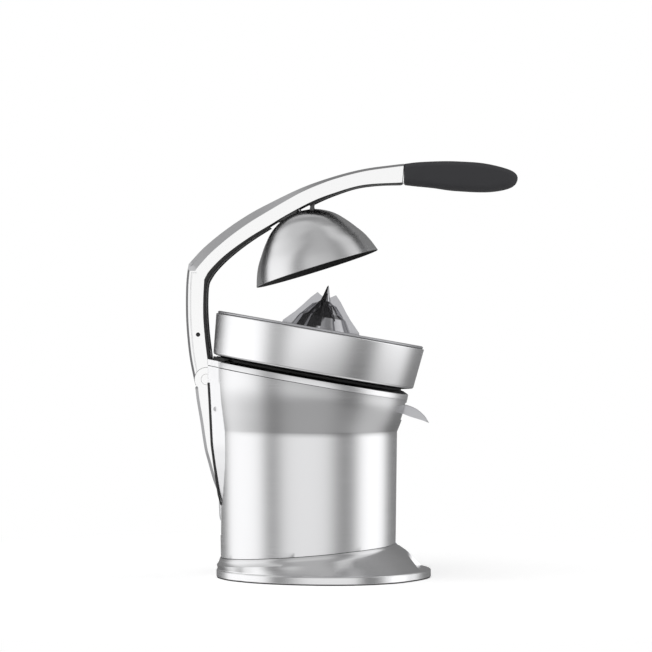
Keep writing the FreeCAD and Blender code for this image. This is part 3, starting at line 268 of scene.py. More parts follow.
def carve(obj, cutters, sharp=35.0):
    """Cuts each closed cutter mesh, given as (verts, faces), out of obj."""
    verts, faces = [], []
    for v, f in cutters:
        n = len(verts)
        verts += v
        faces += [tuple(i + n for i in face) for face in f]
    mesh = bpy.data.meshes.new("cutter")
    mesh.from_pydata([tuple(v) for v in verts], [], faces)
    bm = bmesh.new()
    bm.from_mesh(mesh)
    bmesh.ops.recalc_face_normals(bm, faces=bm.faces)
    bm.to_mesh(mesh)
    bm.free()
    tool = bpy.data.objects.new("cutter", mesh)
    bpy.context.scene.collection.objects.link(tool)
    mod = obj.modifiers.new("cut", "BOOLEAN")
    mod.operation, mod.solver, mod.object = "DIFFERENCE", "EXACT", tool
    mod.use_self = len(cutters) > 1
    apply(obj)
    bpy.data.objects.remove(tool)
    bpy.data.meshes.remove(mesh)
    finish_mesh(obj, sharp)


def block(x0, x1, y0, y1, z0, z1, place=None):
    verts = [Vector((x, y, z)) * MM for x in (x0, x1) for y in (y0, y1) for z in (z0, z1)]
    if place is not None:
        verts = [place @ v for v in verts]
    return verts, [(0, 1, 3, 2), (4, 6, 7, 5), (0, 4, 5, 1), (2, 3, 7, 6), (0, 2, 6, 4), (1, 5, 7, 3)]


def drum(radius, start, end, segments=48):
    """A closed cylinder between two points, millimetres."""
    a, b = Vector(start) * MM, Vector(end) * MM
    turn = (b - a).to_track_quat("Z", "Y").to_matrix()
    verts = []
    for c in (a, b):
        for j in range(segments):
            t = math.tau * j / segments
            verts.append(c + turn @ (Vector((math.cos(t), math.sin(t), 0)) * radius * MM))
    faces = [tuple(range(segments)), tuple(range(2 * segments - 1, segments - 1, -1))]
    faces += ring_faces(2, segments)
    return verts, faces


def bowl_place():
    sizes = bpy.context.scene.press_bowl
    return Matrix.Translation(sizes.centre) @ Matrix.Rotation(sizes.tilt, 4, "Y")


def dome_place():
    return Matrix.Translation((8.73 * MM, 0, 298.6 * MM)) @ Matrix.Rotation(math.radians(-17.3), 4, "Y")


# Materials

def shader(name, colour, metallic, roughness):
    mat = bpy.data.materials.new(name)
    mat.use_nodes = True
    node = mat.node_tree.nodes["Principled BSDF"]
    node.inputs["Base Color"].default_value = (*colour, 1.0)
    node.inputs["Metallic"].default_value = metallic
    node.inputs["Roughness"].default_value = roughness
    return mat


def grain(mat, scale, detail, low, high, bump, tilt=0.0, stretch=(1.0, 1.0, 1.0), colours=None):
    """Noise along the brushing or moulding, driving roughness, bump and a slight colour change."""
    tree = mat.node_tree
    new, link = tree.nodes.new, tree.links.new
    bsdf = tree.nodes["Principled BSDF"]
    where = new("ShaderNodeTexCoord")
    place = new("ShaderNodeMapping")
    place.inputs["Rotation"].default_value = (0, -tilt, 0)
    place.inputs["Scale"].default_value = stretch
    noise = new("ShaderNodeTexNoise")
    noise.inputs["Scale"].default_value = scale
    noise.inputs["Detail"].default_value = detail
    link(where.outputs["Object"], place.inputs["Vector"])
    link(place.outputs["Vector"], noise.inputs["Vector"])
    spread = new("ShaderNodeMapRange")
    spread.inputs["To Min"].default_value = low
    spread.inputs["To Max"].default_value = high
    link(noise.outputs["Fac"], spread.inputs["Value"])
    link(spread.outputs["Result"], bsdf.inputs["Roughness"])
    if bump:
        raise_ = new("ShaderNodeBump")
        raise_.inputs["Strength"].default_value = bump
        raise_.inputs["Distance"].default_value = 0.0002
        link(noise.outputs["Fac"], raise_.inputs["Height"])
        link(raise_.outputs["Normal"], bsdf.inputs["Normal"])
    if colours:
        ramp = new("ShaderNodeValToRGB")
        ramp.color_ramp.elements[0].color = (*colours[0], 1.0)
        ramp.color_ramp.elements[1].color = (*colours[1], 1.0)
        link(noise.outputs["Fac"], ramp.inputs["Fac"])
        link(ramp.outputs["Color"], bsdf.inputs["Base Color"])
    return mat


def brushed(mat, amount):
    """Stretches highlights the way circular brushing does."""
    tree = mat.node_tree
    bsdf = tree.nodes["Principled BSDF"]
    bsdf.inputs["Anisotropic"].default_value = amount
    around = tree.nodes.new("ShaderNodeTangent")
    around.direction_type, around.axis = "RADIAL", "Z"
    tree.links.new(around.outputs["Tangent"], bsdf.inputs["Tangent"])
    return mat


def scaled(colour, k):
    return tuple(min(1.0, c * k) for c in colour)


def finishes():
    """Every finish of the press, made once."""
    if "brushed_upright" in bpy.data.materials:
        return {m.name: m for m in bpy.data.materials}
    f = bpy.context.scene.press_finish
    tilt = bpy.context.scene.press_bowl.tilt
    steel = tuple(f.steel)
    pair = (scaled(steel, 0.965), scaled(steel, 1.03))
    bowl_pair = (scaled(steel, 1.09), scaled(steel, 1.16))
    # Name, tilt, grain stretch across and along the axis, roughness from and to, bump, colours, stretch of
    # the highlights
    for name, turn, wide, tall, low, high, bump, colours, amount in (
        ("brushed_upright", 0.0, 9, 1900, 0.20, 0.28, 0.05, pair, 0.8),
        ("brushed_tilted", tilt, 9, 1900, 0.20, 0.28, 0.05, pair, 0.8),
        ("brushed_bowl", tilt, 9, 1900, 0.20, 0.28, 0.05, bowl_pair, 0.8),
        ("brushed_dome", math.radians(-17.3), 12, 1700, 0.20, 0.28, 0.05, pair, 0.7),
        ("brushed_base", 0.0, 14, 900, 0.18, 0.26, 0.04, pair, 0.5),
    ):
        mat = grain(shader(name, steel, 1.0, 0.3), 1.0, 3.0, low, high, bump, tilt=turn,
                    stretch=(wide, wide, tall), colours=colours)
        brushed(mat, amount)
    # Name, colour, metallic, roughness, grain scale, roughness from and to, bump
    for name, colour, metallic, rough, scale, low, high, bump in (
        # Near-black steel for the bowl's underside: painted shade and painted dark reflection under the bowl
        ("dark_underside", (0.05, 0.05, 0.052), 1.0, 0.3, 500.0, 0.3, 0.4, 0.04),
        ("polished_side", tuple(f.polish), 1.0, 0.1, 260.0, 0.10, 0.16, 0.02),
        ("satin_bevel", tuple(f.bevels), 1.0, 0.3, 900.0, 0.28, 0.36, 0.05),
        ("strainer_steel", scaled(steel, 0.8), 1.0, 0.3, 400.0, 0.24, 0.34, 0.04),
        ("reamer_steel", scaled(steel, 0.95), 1.0, 0.2, 300.0, 0.14, 0.24, 0.03),
        ("black_plastic", tuple(f.black), 0.0, 0.4, 900.0, 0.32, 0.44, 0.06),
        ("grey_plastic", (0.30, 0.30, 0.30), 0.0, 0.4, 900.0, 0.32, 0.44, 0.06),
        ("dark_metal", (0.10, 0.10, 0.10), 1.0, 0.3, 700.0, 0.30, 0.42, 0.05),
        ("rubber", (0.02, 0.02, 0.02), 0.0, 0.7, 700.0, 0.6, 0.8, 0.1),
        ("machined_steel", (0.56, 0.56, 0.57), 1.0, 0.3, 500.0, 0.25, 0.4, 0.05),
        ("brass", (0.72, 0.55, 0.26), 1.0, 0.3, 500.0, 0.25, 0.4, 0.05),
        ("white_plastic", (0.75, 0.75, 0.72), 0.0, 0.4, 600.0, 0.32, 0.45, 0.05),
        ("magnet", (0.06, 0.06, 0.065), 0.2, 0.6, 600.0, 0.5, 0.7, 0.1),
        ("board_green", (0.04, 0.18, 0.08), 0.0, 0.4, 500.0, 0.3, 0.5, 0.05),
    ):
        grain(shader(name, colour, metallic, rough), scale, 2.0, low, high, bump)
    grain(shader("soft_grip", tuple(f.grip), 0.0, 0.5), 1400.0, 2.0, 0.42, 0.54, 0.10,
          colours=(scaled(f.grip, 0.92), scaled(f.grip, 1.08)))
    return {m.name: m for m in bpy.data.materials}


# Shapes that several pieces share

def flare_row(t):
    """Right and left ends of the body's section at t from the crease (0) to the seam (1)."""
    rights = through([a for a, b in FLARE], 33)
    lefts = through([b for a, b in FLARE], 33)
    i = min(31, int(t * 32))
    k = t * 32 - i
    return rights[i].lerp(rights[i + 1], k), lefts[i].lerp(lefts[i + 1], k)


def spine_at(z):
    for hi, lo in zip(SPINE, SPINE[1:]):
        if lo[0] <= z <= hi[0]:
            k = (z - lo[0]) / (hi[0] - lo[0])
            return [lo[i] + (hi[i] - lo[i]) * k for i in range(1, 5)]
    return None


def valley(row):
    """Half-width at which the spine's side facet meets the valley beside it."""
    rear, half, outer_x, outer_half = row
    return min(half + 1.2 * (outer_x - rear - 1.9), outer_half - 1.0)


def with_spine(x, y, z):
    """Moves a point of the body to the spine's rear face, side facet or valley."""
    row = spine_at(z)
    if row is None or x > 0:
        return x
    rear, half, outer_x, outer_half = row
    w, low = abs(y), valley(row)
    if w <= half - 2.2:
        return min(x, rear)
    if w <= half:
        return min(x, rear + 1.9 * ((w - half + 2.2) / 2.2) ** 2)
    if w <= low:
        return rear + 1.9 + (outer_x - rear - 1.9) * (w - half) / (low - half)
    if w < outer_half:
        return outer_x - 0.6 * (w - low) / (outer_half - low)
    return x


def across(w, z):
    """Slides a column along the spine so that columns follow the valley's two edges."""
    row = spine_at(min(max(z, SPINE[-1][0]), SPINE[0][0]))
    marks = [(20.2, row[1]), (32.0, valley(row)), (38.0, row[3]), (60.0, 60.0)]
    for (a, p), (b, q) in zip(marks, marks[1:]):
        if a <= w <= b:
            return p + (q - p) * (w - a) / (b - a)
    return w


def columns():
    """Column offsets across the body: even angles, packed along the slot and the spine's edges."""
    angles = [math.tau * j / 200 for j in range(200)]
    marks = [17.49, 17.5, 18.3, 19.2, 20.2, 24.0, 28.0, 31.9, 32.0, 38.0, 38.1]
    rear = [a for a in angles if abs((a - math.pi)) > math.radians(27.0)]
    marks_a = [math.asin(m / 86.0) for m in marks] + [math.radians(d) for d in (0, 3, 6, 9)]
    extra = [math.pi + a for a in marks_a] + [math.pi - a for a in marks_a if a > 0]
    return sorted(rear + extra)


def row_points(centre_x, centre_z, radius, tilt, spine=True, reference=86.0):
    pts = []
    for a in columns():
        if a > math.pi * 0.75 and a < math.pi * 1.25:
            w = abs(reference * math.sin(a))
            height = centre_z + radius * math.cos(a) * -math.sin(tilt)
            y = math.copysign(across(w, height) if spine else w, math.sin(a))
            x = -math.sqrt(max(radius * radius - y * y, 0.0))
        else:
            lean = abs(math.cos(a)) if math.cos(a) < 0 else 0.0
            y = (radius * (1 - lean) + (reference + (radius - reference) * (1 - lean)) * lean) * math.sin(a)
            x = math.copysign(math.sqrt(max(radius * radius - y * y, 0.0)), math.cos(a))
        px = centre_x + x * math.cos(tilt)
        pz = centre_z - x * math.sin(tilt)
        if spine:
            nx = with_spine(px, y, pz)
            pz += (px - nx) * math.tan(tilt)
            px = nx
        pts.append(Vector((px, y, pz)) * MM)
    return pts


def drop_faces(obj, inside):
    bm = bmesh.new()
    bm.from_mesh(obj.data)
    gone = [f for f in bm.faces if inside(f.calc_center_median())]
    bmesh.ops.delete(bm, geom=gone, context="FACES")
    bm.to_mesh(obj.data)
    bm.free()


def thicken(obj, wall):
    mod = obj.modifiers.new("wall", "SOLIDIFY")
    mod.thickness, mod.offset = wall, -1.0
    apply(obj)


class PRESS_OT_body(bpy.types.Operator):
    """Brushed steel body with its flare, rear spine, link slot and vents"""
    bl_idname = "press.body"
    bl_label = "Body shell"

    def execute(self, context):
        s = context.scene.press_body
        rows = []
        foot = 16.0
        heights = [foot + (s.crease / MM - foot) * k / 26 for k in range(27)]
        skirt = s.skirt / MM
        for z in heights:
            r = s.foot_radius / MM + (s.top_radius - s.foot_radius) / MM * (z - foot) / (s.crease / MM - foot)
            ring = []
            for p in row_points(0, z, r, 0.0):
                low = (skirt + 0.0785 * p.x / MM) * MM
                ring.append(Vector((p.x, p.y, max(p.z, low))))
            rows.append(ring)
        for k in range(1, 25):
            right, left = flare_row(k / 24)
            mid, half = (right + left) / 2, (right - left) / 2
            rows.append(row_points(mid.x, mid.y, half.length, math.atan2(left.y - right.y, right.x - left.x)))
        cols = len(rows[0])
        verts = [v for row in rows for v in row]
        obj = build("body_shell", verts, ring_faces(len(rows), cols), finishes()["brushed_upright"], "base",
                    ["body_shell"], sharp=24.0)
        slot, low = s.slot, s.slot_foot
        drop_faces(obj, lambda c: c.x < 0 and abs(c.y) < slot and c.z > low)
        thicken(obj, s.wall)
        cutters = [block(74, 110, -14.4, 14.4, 151.5, 168.5)]
        cutters += [block(-8 + 9 * i, -4 + 9 * i, 70, 100, 50, 84) for i in range(-2, 4)]
        cutters += [drum(6.9, (-51.96, 30, 45), (-95.3, 55, 45))]
        carve(obj, cutters, 24.0)
        return {"FINISHED"}


class PRESS_OT_slot_cheeks(bpy.types.Operator):
    """Side walls of the slot behind the steel body"""
    bl_idname = "press.slot_cheeks"
    bl_label = "Slot cheeks"

    def execute(self, context):
        for side, tag in ((-1, "near"), (1, "far")):
            outline = [(-94.6, 199.6), (-93.6, 171.0), (-91.6, 128.0), (-88.8, 108.0), (-84.6, 80.0),
                       (-82.6, 43.0), (-76.0, 43.0), (-76.0, 196.0)]
            verts, n = [], len(outline)
            for w in (17.5, 19.0):
                verts += [Vector((x, side * w, z)) * MM for x, z in outline]
            faces = [tuple(range(n)), tuple(range(2 * n - 1, n - 1, -1))] + ring_faces(2, n)
            build("slot_cheek_" + tag, verts, faces, finishes()["brushed_upright"], "base")
            # Black strips along the slot's rear edges: partly a rubber seal, partly painted shadow at the
            # slot's edge
            verts = []
            for z, rear, half, outer_x, outer_half in SPINE[1:]:
                verts += [Vector((rear + dx, side * w, z)) * MM for dx, w in ((-0.5, 17.3), (-0.5, 19.4),
                                                                              (1.3, 20.3), (1.3, 17.3))]
            build("slot_seal_and_shadow_" + tag, verts, ring_faces(len(SPINE) - 1, 4), finishes()["black_plastic"], "base")
        return {"FINISHED"}


class PRESS_OT_ring(bpy.types.Operator):
    """Trim ring between the body and the bowl, with the top of the spine"""
    bl_idname = "press.ring"
    bl_label = "Trim ring"

    def execute(self, context):
        place = bowl_place()
        tilt = context.scene.press_bowl.tilt
        rows = []
        section = [(-51.1, 90.5, 0.0, True), (-51.1, 96.0, -1.6, True), (-50.8, 96.3, -1.6, True),
                   (-46.4, 96.3, -1.6, True), (-45.8, 96.0, -1.6, True), (-45.5, 95.2, -1.2, True),
                   (-45.3, 94.4, -0.8, False), (-43.9, 90.6, 0.0, False), (-43.4, 89.6, 0.0, False),
                   (-43.4, 87.1, 0.0, False), (-51.1, 87.1, 0.0, False)]
        for h, r, shift, spine in section:
            centre = place @ (Vector((shift, 0, h)) * MM)
            pts = row_points(centre.x / MM, centre.z / MM, r, tilt, spine and r > 92, reference=86.0)
            rows.append(pts)
        cols = len(rows[0])
        verts = [v for row in rows for v in row]
        obj = build("trim_ring", verts, ring_faces(len(rows), cols, True, True),
                    finishes()["brushed_tilted"], "base", ["trim_ring"], sharp=28.0)
        carve(obj, [block(-130, -85.0, -17.5, 17.5, 180, 230)], 28.0)
        return {"FINISHED"}


def plan_points(inset, z, count=220):
    loop = BASE_PLAN + [(x, -y) for x, y in BASE_PLAN[-2:0:-1]]
    loop = loop[-3:] + loop + loop[:4]
    dense = through(loop, 900)
    out = []
    for j in range(count):
        a = math.tau * j / count
        best = min(dense, key=lambda p: abs(math.remainder(math.atan2(p.y, p.x - 12) - a, math.tau)))
        d = Vector((best.x - 12, best.y))
        d = d.normalized() * (d.length - inset)
        out.append(Vector((d.x + 12, d.y, z(d.x + 12) if callable(z) else z)) * MM)
    return out


def disc_points(radius, z, count=220):
    out = []
    for j in range(count):
        a = math.tau * j / count
        c, s = math.cos(a), math.sin(a)
        t = -12 * c + math.sqrt(radius * radius - (12 * s) ** 2)
        x, y = 12 + t * c, t * s
        out.append(Vector((x, y, z(x))) * MM)
    return out


class PRESS_OT_base(bpy.types.Operator):
    """Steel base with its upright flange, sloping skirt and glass recess"""
    bl_idname = "press.base"
    bl_label = "Base cowl"

    def execute(self, context):
        s = context.scene.press_body
        top, skirt = s.flange / MM, s.skirt / MM
        front = lambda x: min(max((x - 30.0) / 58.0, 0.0), 1.0) ** 2
        plane = lambda drop: (lambda x: skirt + 0.0785 * x - drop * (1.0 - 0.55 * front(x)))
        outer = plan_points(1.4, top)
        ring = disc_points(88.6, plane(7.2))
        edge = ((6.0, 1.0), (0.5, 1.0), (0.0, 1.5), (0.0, top - 1.3), (0.4, top - 0.5), (1.3, top - 0.05))
        rows = [plan_points(inset, z) for inset, z in edge]
        for k in (0.05, 0.2, 0.4, 0.6, 0.8, 1.0):
            row = []
            for a, b in zip(outer, ring):
                bow = (1.5 * front(b.x / MM) - 0.8) * math.sin(math.pi * k)
                row.append(a.lerp(b, k) + Vector((0, 0, bow * MM * min(1.0, (a - b).length / 0.03))))
            rows.append(row)
        rows += [disc_points(radius, plane(drop)) for radius, drop in (
            (87.2, 5.6), (86.2, 3.4), (85.5, 1.2), (85.0, 0.5), (83.0, 0.5), (82.0, 8.0))]
        rows.append(disc_points(82.0, lambda x: 1.0))
        cols = len(rows[0])
        verts = [v for row in rows for v in row]
        obj = build("base_cowl", verts, ring_faces(len(rows), cols, True, True), finishes()["brushed_base"],
                    "base", ["base_cowl"], sharp=26.0)
        carve(obj, [drum(46.0, (139, 0, top + 0.05), (139, 0, 60), 128)], 26.0)
        # A rubber ring under the flange, which also paints the shadow gap between the flange and the floor
        rows = [plan_points(5.0, 0.1), plan_points(0.5, 0.1), plan_points(0.3, 1.0), plan_points(5.0, 1.0)]
        build("base_seal_and_shadow", [v for row in rows for v in row], ring_faces(4, len(rows[0]), True, True),
              finishes()["rubber"], "base")
        return {"FINISHED"}


class PRESS_OT_bowl(bpy.types.Operator):
    """Tilted juice bowl with its rolled rim and bevelled underside, the underside painted dark as shade"""
    bl_idname = "press.bowl"
    bl_label = "Juice bowl"

    def execute(self, context):
        s = context.scene.press_bowl
        rim, foot, height = s.rim / MM, s.foot / MM, s.height / MM
        outer = [(7.0, -41.6), (88.2, -41.6), (foot - 0.9, -height - 0.6), (foot, -height + 0.8), (rim, -0.7),
                 (rim - 0.7, 0.0), (rim - 1.5, -0.2), (foot - 1.5, -height + 1.6), (87.8, -40.1), (17.0, -40.1),
                 (17.0, -22.0), (7.0, -22.0)]
        radii = [0, 0.6, 0.6, 0.6, 0.5, 0.4, 0.4, 2.0, 1.0, 2.0, 1.0, 0]
        profile = [(p.x * MM, p.y * MM) for p in rounded(outer, radii)]
        mats = [finishes()["brushed_bowl"], finishes()["dark_underside"]]
        bowl = lathe("juice_bowl", profile, mats, "bowl", ["juice_bowl"], bowl_place(), 220)
        down = -(bowl_place().to_3x3() @ Vector((0, 0, 1)))
        # Faces that look down take the near-black finish, which paints the shade under the bowl
        for p in bowl.data.polygons:
            p.material_index = 1 if p.normal.dot(down) > 0.8 else 0
        return {"FINISHED"}


class PRESS_OT_strainer(bpy.types.Operator):
    """Strainer with its rim resting on the bowl and radial juice slots"""
    bl_idname = "press.strainer"
    bl_label = "Strainer"

    def execute(self, context):
        section = [(16.0, -21.0), (20.5, -21.0), (20.5, -18.0), (60.0, -18.0), (92.0, -15.0), (97.4, -2.0),
                   (100.6, 0.3), (101.1, 1.3), (99.6, 2.7), (98.0, 2.2), (96.0, -1.2), (91.0, -13.9),
                   (60.0, -16.8), (16.0, -16.8)]
        radii = [0, 0, 0, 6, 3, 1, 0.5, 0.6, 0.8, 0.8, 2, 3, 6, 0]
        profile = [(p.x * MM, p.y * MM) for p in rounded(section, radii)]
        obj = lathe("strainer", profile, finishes()["strainer_steel"], "strainer",
                    ["strainer"], bowl_place(), 192)
        cutters = []
        for i in range(24):
            turn = bowl_place() @ Matrix.Rotation(math.tau * i / 24, 4, "Z")
            cutters.append(block(48, 80, -1.6, 1.6, -26, -8, turn))
        carve(obj, cutters)
        return {"FINISHED"}


class PRESS_OT_dome(bpy.types.Operator):
    """Press dome in brushed steel with its black liner"""
    bl_idname = "press.dome"
    bl_label = "Press dome"

    def execute(self, context):
        s = context.scene.press_lever
        R, H = s.dome_radius, s.dome_height
        curve = through(DOME_CURVE, 40)
        outer = [(p.x * R, p.y * H) for p in curve]
        inner = [(p.x * (R - 1.2 * MM), p.y * (H - 1.2 * MM)) for p in reversed(curve)]
        edge = [(R - 1.2 * MM, -0.0003), (R - 0.3 * MM, -0.0003)]
        mats = [finishes()["brushed_dome"], finishes()["black_plastic"]]
        dome = lathe("press_dome", outer + inner[:-1] + edge, mats, "arm", ["press_dome"],
                     dome_place(), 180, closed=True)
        middle = dome_place().translation
        for p in dome.data.polygons:
            p.material_index = 1 if p.normal.dot(p.center - middle) < 0 or p.normal.z < -0.9 else 0
        outer = [(p.x * (R - 1.25 * MM), p.y * (H - 1.25 * MM)) for p in curve[1:]]
        inner = [(p.x * (R - 3.0 * MM), p.y * (H - 3.0 * MM)) for p in reversed(curve[1:])]
        lathe("dome_liner", outer + inner, finishes()["black_plastic"], "arm",
              ["dome_liner"], dome_place(), 160, closed=True)
        return {"FINISHED"}


def lever_stations():
    outer = through(REAR_OUTER, 26)[:-1] + through(TOP_OUTER, 60)
    inner = through(REAR_INNER, 26)[:-1] + through(TOP_INNER, 60)
    return outer, inner


def bevel_at(x):
    """Depth of the lever's upper bevel, wide at the knee and narrow at the grip."""
    for (a, p), (b, q) in zip(BEVEL, BEVEL[1:]):
        if x <= b:
            return p + (q - p) * (x - a) / (b - a)
    return BEVEL[-1][1]


class PRESS_OT_lever(bpy.types.Operator):
    """Polished lever arm: a bevelled channel with fine side grooves"""
    bl_idname = "press.lever"
    bl_label = "Lever arm"

    def execute(self, context):
        s = context.scene.press_lever
        w, wall = s.half / MM, s.wall / MM
        outer, inner = lever_stations()
        verts = []
        n = len(outer)
        for i in range(n):
            o, m = outer[i], inner[i]
            t = outer[min(i + 1, n - 1)] - outer[max(i - 1, 0)]
            normal = Vector((t.y, -t.x)).normalized()
            d = (m - o).normalized()
            k = 1.0 / max(abs(d.dot(normal)), 0.5)
            at = lambda depth: o + d * depth * k
            rear = i < 25
            bevel = s.bevel / MM if rear else bevel_at(o.x)
            flat, groove = (w - 8.0, 0.45) if rear else (w - 5.0, 0.0)
            half = [(o, 0.0), (o, flat), (at(bevel), w), (at(bevel + 1.9), w), (at(bevel + 2.1), w - groove),
                    (at(bevel + 2.7), w - groove), (at(bevel + 2.9), w), (m, w), (m, w - wall),
                    (at(wall), w - wall), (at(wall), 0.0)]
            loop = half + [(p, -y) for p, y in half[-2:0:-1]]
            verts += [Vector((p.x, y, p.y)) * MM for p, y in loop]
        cols = len(loop)
        faces = ring_faces(n, cols) + [tuple(range(cols)), tuple(range((n - 1) * cols, n * cols))]
        mats = [finishes()["polished_side"], finishes()["satin_bevel"], finishes()["black_plastic"]]
        obj = build("lever_arm", verts, faces, mats, "arm", ["lever_arm"], sharp=20.0)
        cheeks = ((-20, -12.2), (12.2, 20))
        cutters = [drum(11.8, (-97.5, y0, 191.1), (-97.5, y1, 191.1), 96) for y0, y1 in cheeks]
        cutters += [block(-125, -80, y0, y1, 150, 185.3) for y0, y1 in cheeks]
        cutters += [drum(2.1, (-105.7, -20, 234.4), (-105.7, -15.3, 234.4))]
        carve(obj, cutters, 20.0)
        for p in obj.data.polygons:
            across = abs(p.normal.y)
            inside = abs(p.center.y) < (w - wall + 0.2) * MM and across > 0.9
            p.material_index = 2 if inside else (0 if across > 0.93 else 1)
        return {"FINISHED"}


class PRESS_OT_bracket(bpy.types.Operator):
    """Dark bracket that carries the press dome under the lever"""
    bl_idname = "press.bracket"
    bl_label = "Dome bracket"

    def execute(self, context):
        post = [(0.0, 361.5), (6.8, 365.0), (5.6, 359.0), (6.6, 354.5), (1.4, 354.0), (2.4, 358.5)]
        pad = [(-30.0, 343.5), (-27.0, 348.2), (-11.2, 356.4), (-9.8, 355.0), (-10.9, 352.6), (-24.0, 345.0)]
        front = plate("dome_bracket", post, post, [(-9.0, 9.0)], finishes()["dark_metal"], "arm",
                      ["dome_bracket"])
        rear = plate("dome_bracket_pad", pad, pad, [(-9.0, 9.0)], finishes()["dark_metal"], "arm")
        for obj in (front, rear):
            soften(obj, 0.4 * MM, 2, 30.0)
        return {"FINISHED"}


class PRESS_OT_insert(bpy.types.Operator):
    """Black lips under the edges of the lever's side walls"""
    bl_idname = "press.insert"
    bl_label = "Lever lips"

    def execute(self, context):
        inner = through(REAR_INNER, 26)[:-1] + through(TOP_INNER, 60)
        edge = through(REAR_LIP, 26)[:-1] + through(TOP_LIP, 60)
        pairs = list(zip(inner, edge))
        runs = [("lower", [p for p in pairs if p[0].x < -36.0]),
                ("upper", [p for p in pairs if p[0].x > 1.0])]
        for tag, run in runs:
            for side, hand in ((-1, "near"), (1, "far")):
                verts = []
                for m, full in run:
                    p = m.lerp(full, 0.82)
                    up = (m - p).normalized() * 2.0
                    ring = [(m, 15.6), (p + up * 0.35, 15.6), (p, 14.9), (p, 10.3), (p + up * 0.35, 9.6),
                            (m + up, 9.6), (m + up, 12.75), (m, 12.75)]
                    verts += [Vector((q.x, side * y, q.y)) * MM for q, y in ring]
                cols = 8
                faces = ring_faces(len(run), cols) + [tuple(range(cols)),
                                                      tuple(range((len(run) - 1) * cols, len(run) * cols))]
                lip = build("arm_lip_" + tag + "_" + hand, verts, faces,
                            [finishes()["black_plastic"], finishes()["grey_plastic"]], "arm",
                            ["arm_insert"] if tag == "lower" and side < 0 else ())
                for p in lip.data.polygons:
                    p.material_index = 1 if p.normal.y * side < -0.8 else 0
        return {"FINISHED"}


class PRESS_OT_grip(bpy.types.Operator):
    """Black soft grip with creased upper and lower edges"""
    bl_idname = "press.grip"
    bl_label = "Grip"

    def execute(self, context):
        tops = through([(x, top) for x, top, foot, w in GRIP], 56)
        feet = through([(x, foot) for x, top, foot, w in GRIP], 56)
        wide = through([(x, w) for x, top, foot, w in GRIP], 56)
        verts = []
        for i in range(56):
            t, f, w = tops[i], feet[i], wide[i].y
            high = t.y - f.y
            b = min(3.8, high * 0.3)
            n = min(5.0, w * 0.36)
            half = [(w - n, f.y), (w - n * 0.35, f.y + b * 0.45), (w, f.y + b * 1.2),
                    (w, t.y - b), (w - n, t.y)]
            loop = half + [(-y, z) for y, z in reversed(half)]
            for y, z in loop:
                k = (z - f.y) / high
                verts.append(Vector((f.x + (t.x - f.x) * k, y, z)) * MM)
        cols = len(loop)
        faces = ring_faces(56, cols) + [tuple(range(cols)), tuple(range(55 * cols, 56 * cols))]
        obj = build("grip", verts, faces, finishes()["soft_grip"], "arm", ["grip"])
        soften(obj, 1.1 * MM, 3, 24.0)
        return {"FINISHED"}


def plate(name, inner, outer, spans, material, body, stands_for=()):
    """Flat plates from one side outline at the first y of each span to another at the second."""
    verts, faces = [], []
    n = len(inner)
    for y0, y1 in spans:
        start = len(verts)
        verts += [Vector((p[0], y0, p[1])) * MM for p in inner]
        verts += [Vector((p[0], y1, p[1])) * MM for p in outer]
        faces.append(tuple(start + i for i in range(n)))
        faces.append(tuple(start + 2 * n - 1 - i for i in range(n)))
        faces += [tuple(start + i for i in f) for f in ring_faces(2, n)]
    return build(name, verts, faces, material, body, stands_for)


class PRESS_OT_rear_link(bpy.types.Operator):
    """Rear link: two polished cheeks with round heads, joined by a web"""
    bl_idname = "press.rear_link"
    bl_label = "Rear link"

    def execute(self, context):
        rear, front = through(LINK_REAR, 60), through(LINK_FRONT, 40)
        centre = Vector((-97.5, 191.1))
        arc = []
        for i in range(49):
            a = math.radians(-38 + 252 * i / 48)
            arc.append(centre + Vector((math.cos(a), math.sin(a))) * 11.45)
        foot = []
        for i in range(25):
            a = math.radians(200 + 150 * i / 24)
            foot.append(Vector((-66.2, 40.1)) + Vector((math.cos(a), math.sin(a))) * 8.2)
        back = [p for p in rear if 50 < p.y < 184]
        rest = foot + [p for p in front if 46 < p.y < 178] + arc
        inset = []
        for i, p in enumerate(back):
            run = (back[min(i + 1, len(back) - 1)] - back[max(i - 1, 0)]).normalized()
            inset.append(p + Vector((-run.y, run.x)) * 3.3)
        link = plate("rear_link", back + rest, inset + rest, [(-10.0, -16.0), (10.0, 16.0)],
                     finishes()["polished_side"], "rear_link", ["rear_link"])
        band = [p for p in rear if 56 < p.y < 176]
        inner = [p + Vector((3.0, 0)) for p in reversed(band)]
        web = plate("rear_link_web", band + inner, band + inner, [(-10.5, 10.5)], finishes()["satin_bevel"],
                    "rear_link")
        for side, tag in ((-1, "near"), (1, "far")):
            place = Matrix.Translation(Vector((centre.x, side * 16.0, centre.y)) * MM) @ Matrix.Rotation(
                math.radians(90), 4, "X")
            for radius, width, finish in ((2.35, 0.45, "black_plastic"), (5.2, 0.15, "grey_plastic")):
                ring = [(radius - width, -0.15), (radius + width, -0.15), (radius + width, 0.15),
                        (radius - width, 0.15)]
                lathe("pivot_ring_%s_%d" % (tag, radius), [(r * MM, h * MM) for r, h in ring],
                      finishes()[finish], "rear_link", (), place, 48)
        for p in link.data.polygons:
            if abs(p.normal.y) < 0.9:
                p.material_index = 1
        link.data.materials.append(finishes()["satin_bevel"])
        finish_mesh(web, 30.0)
        return {"FINISHED"}


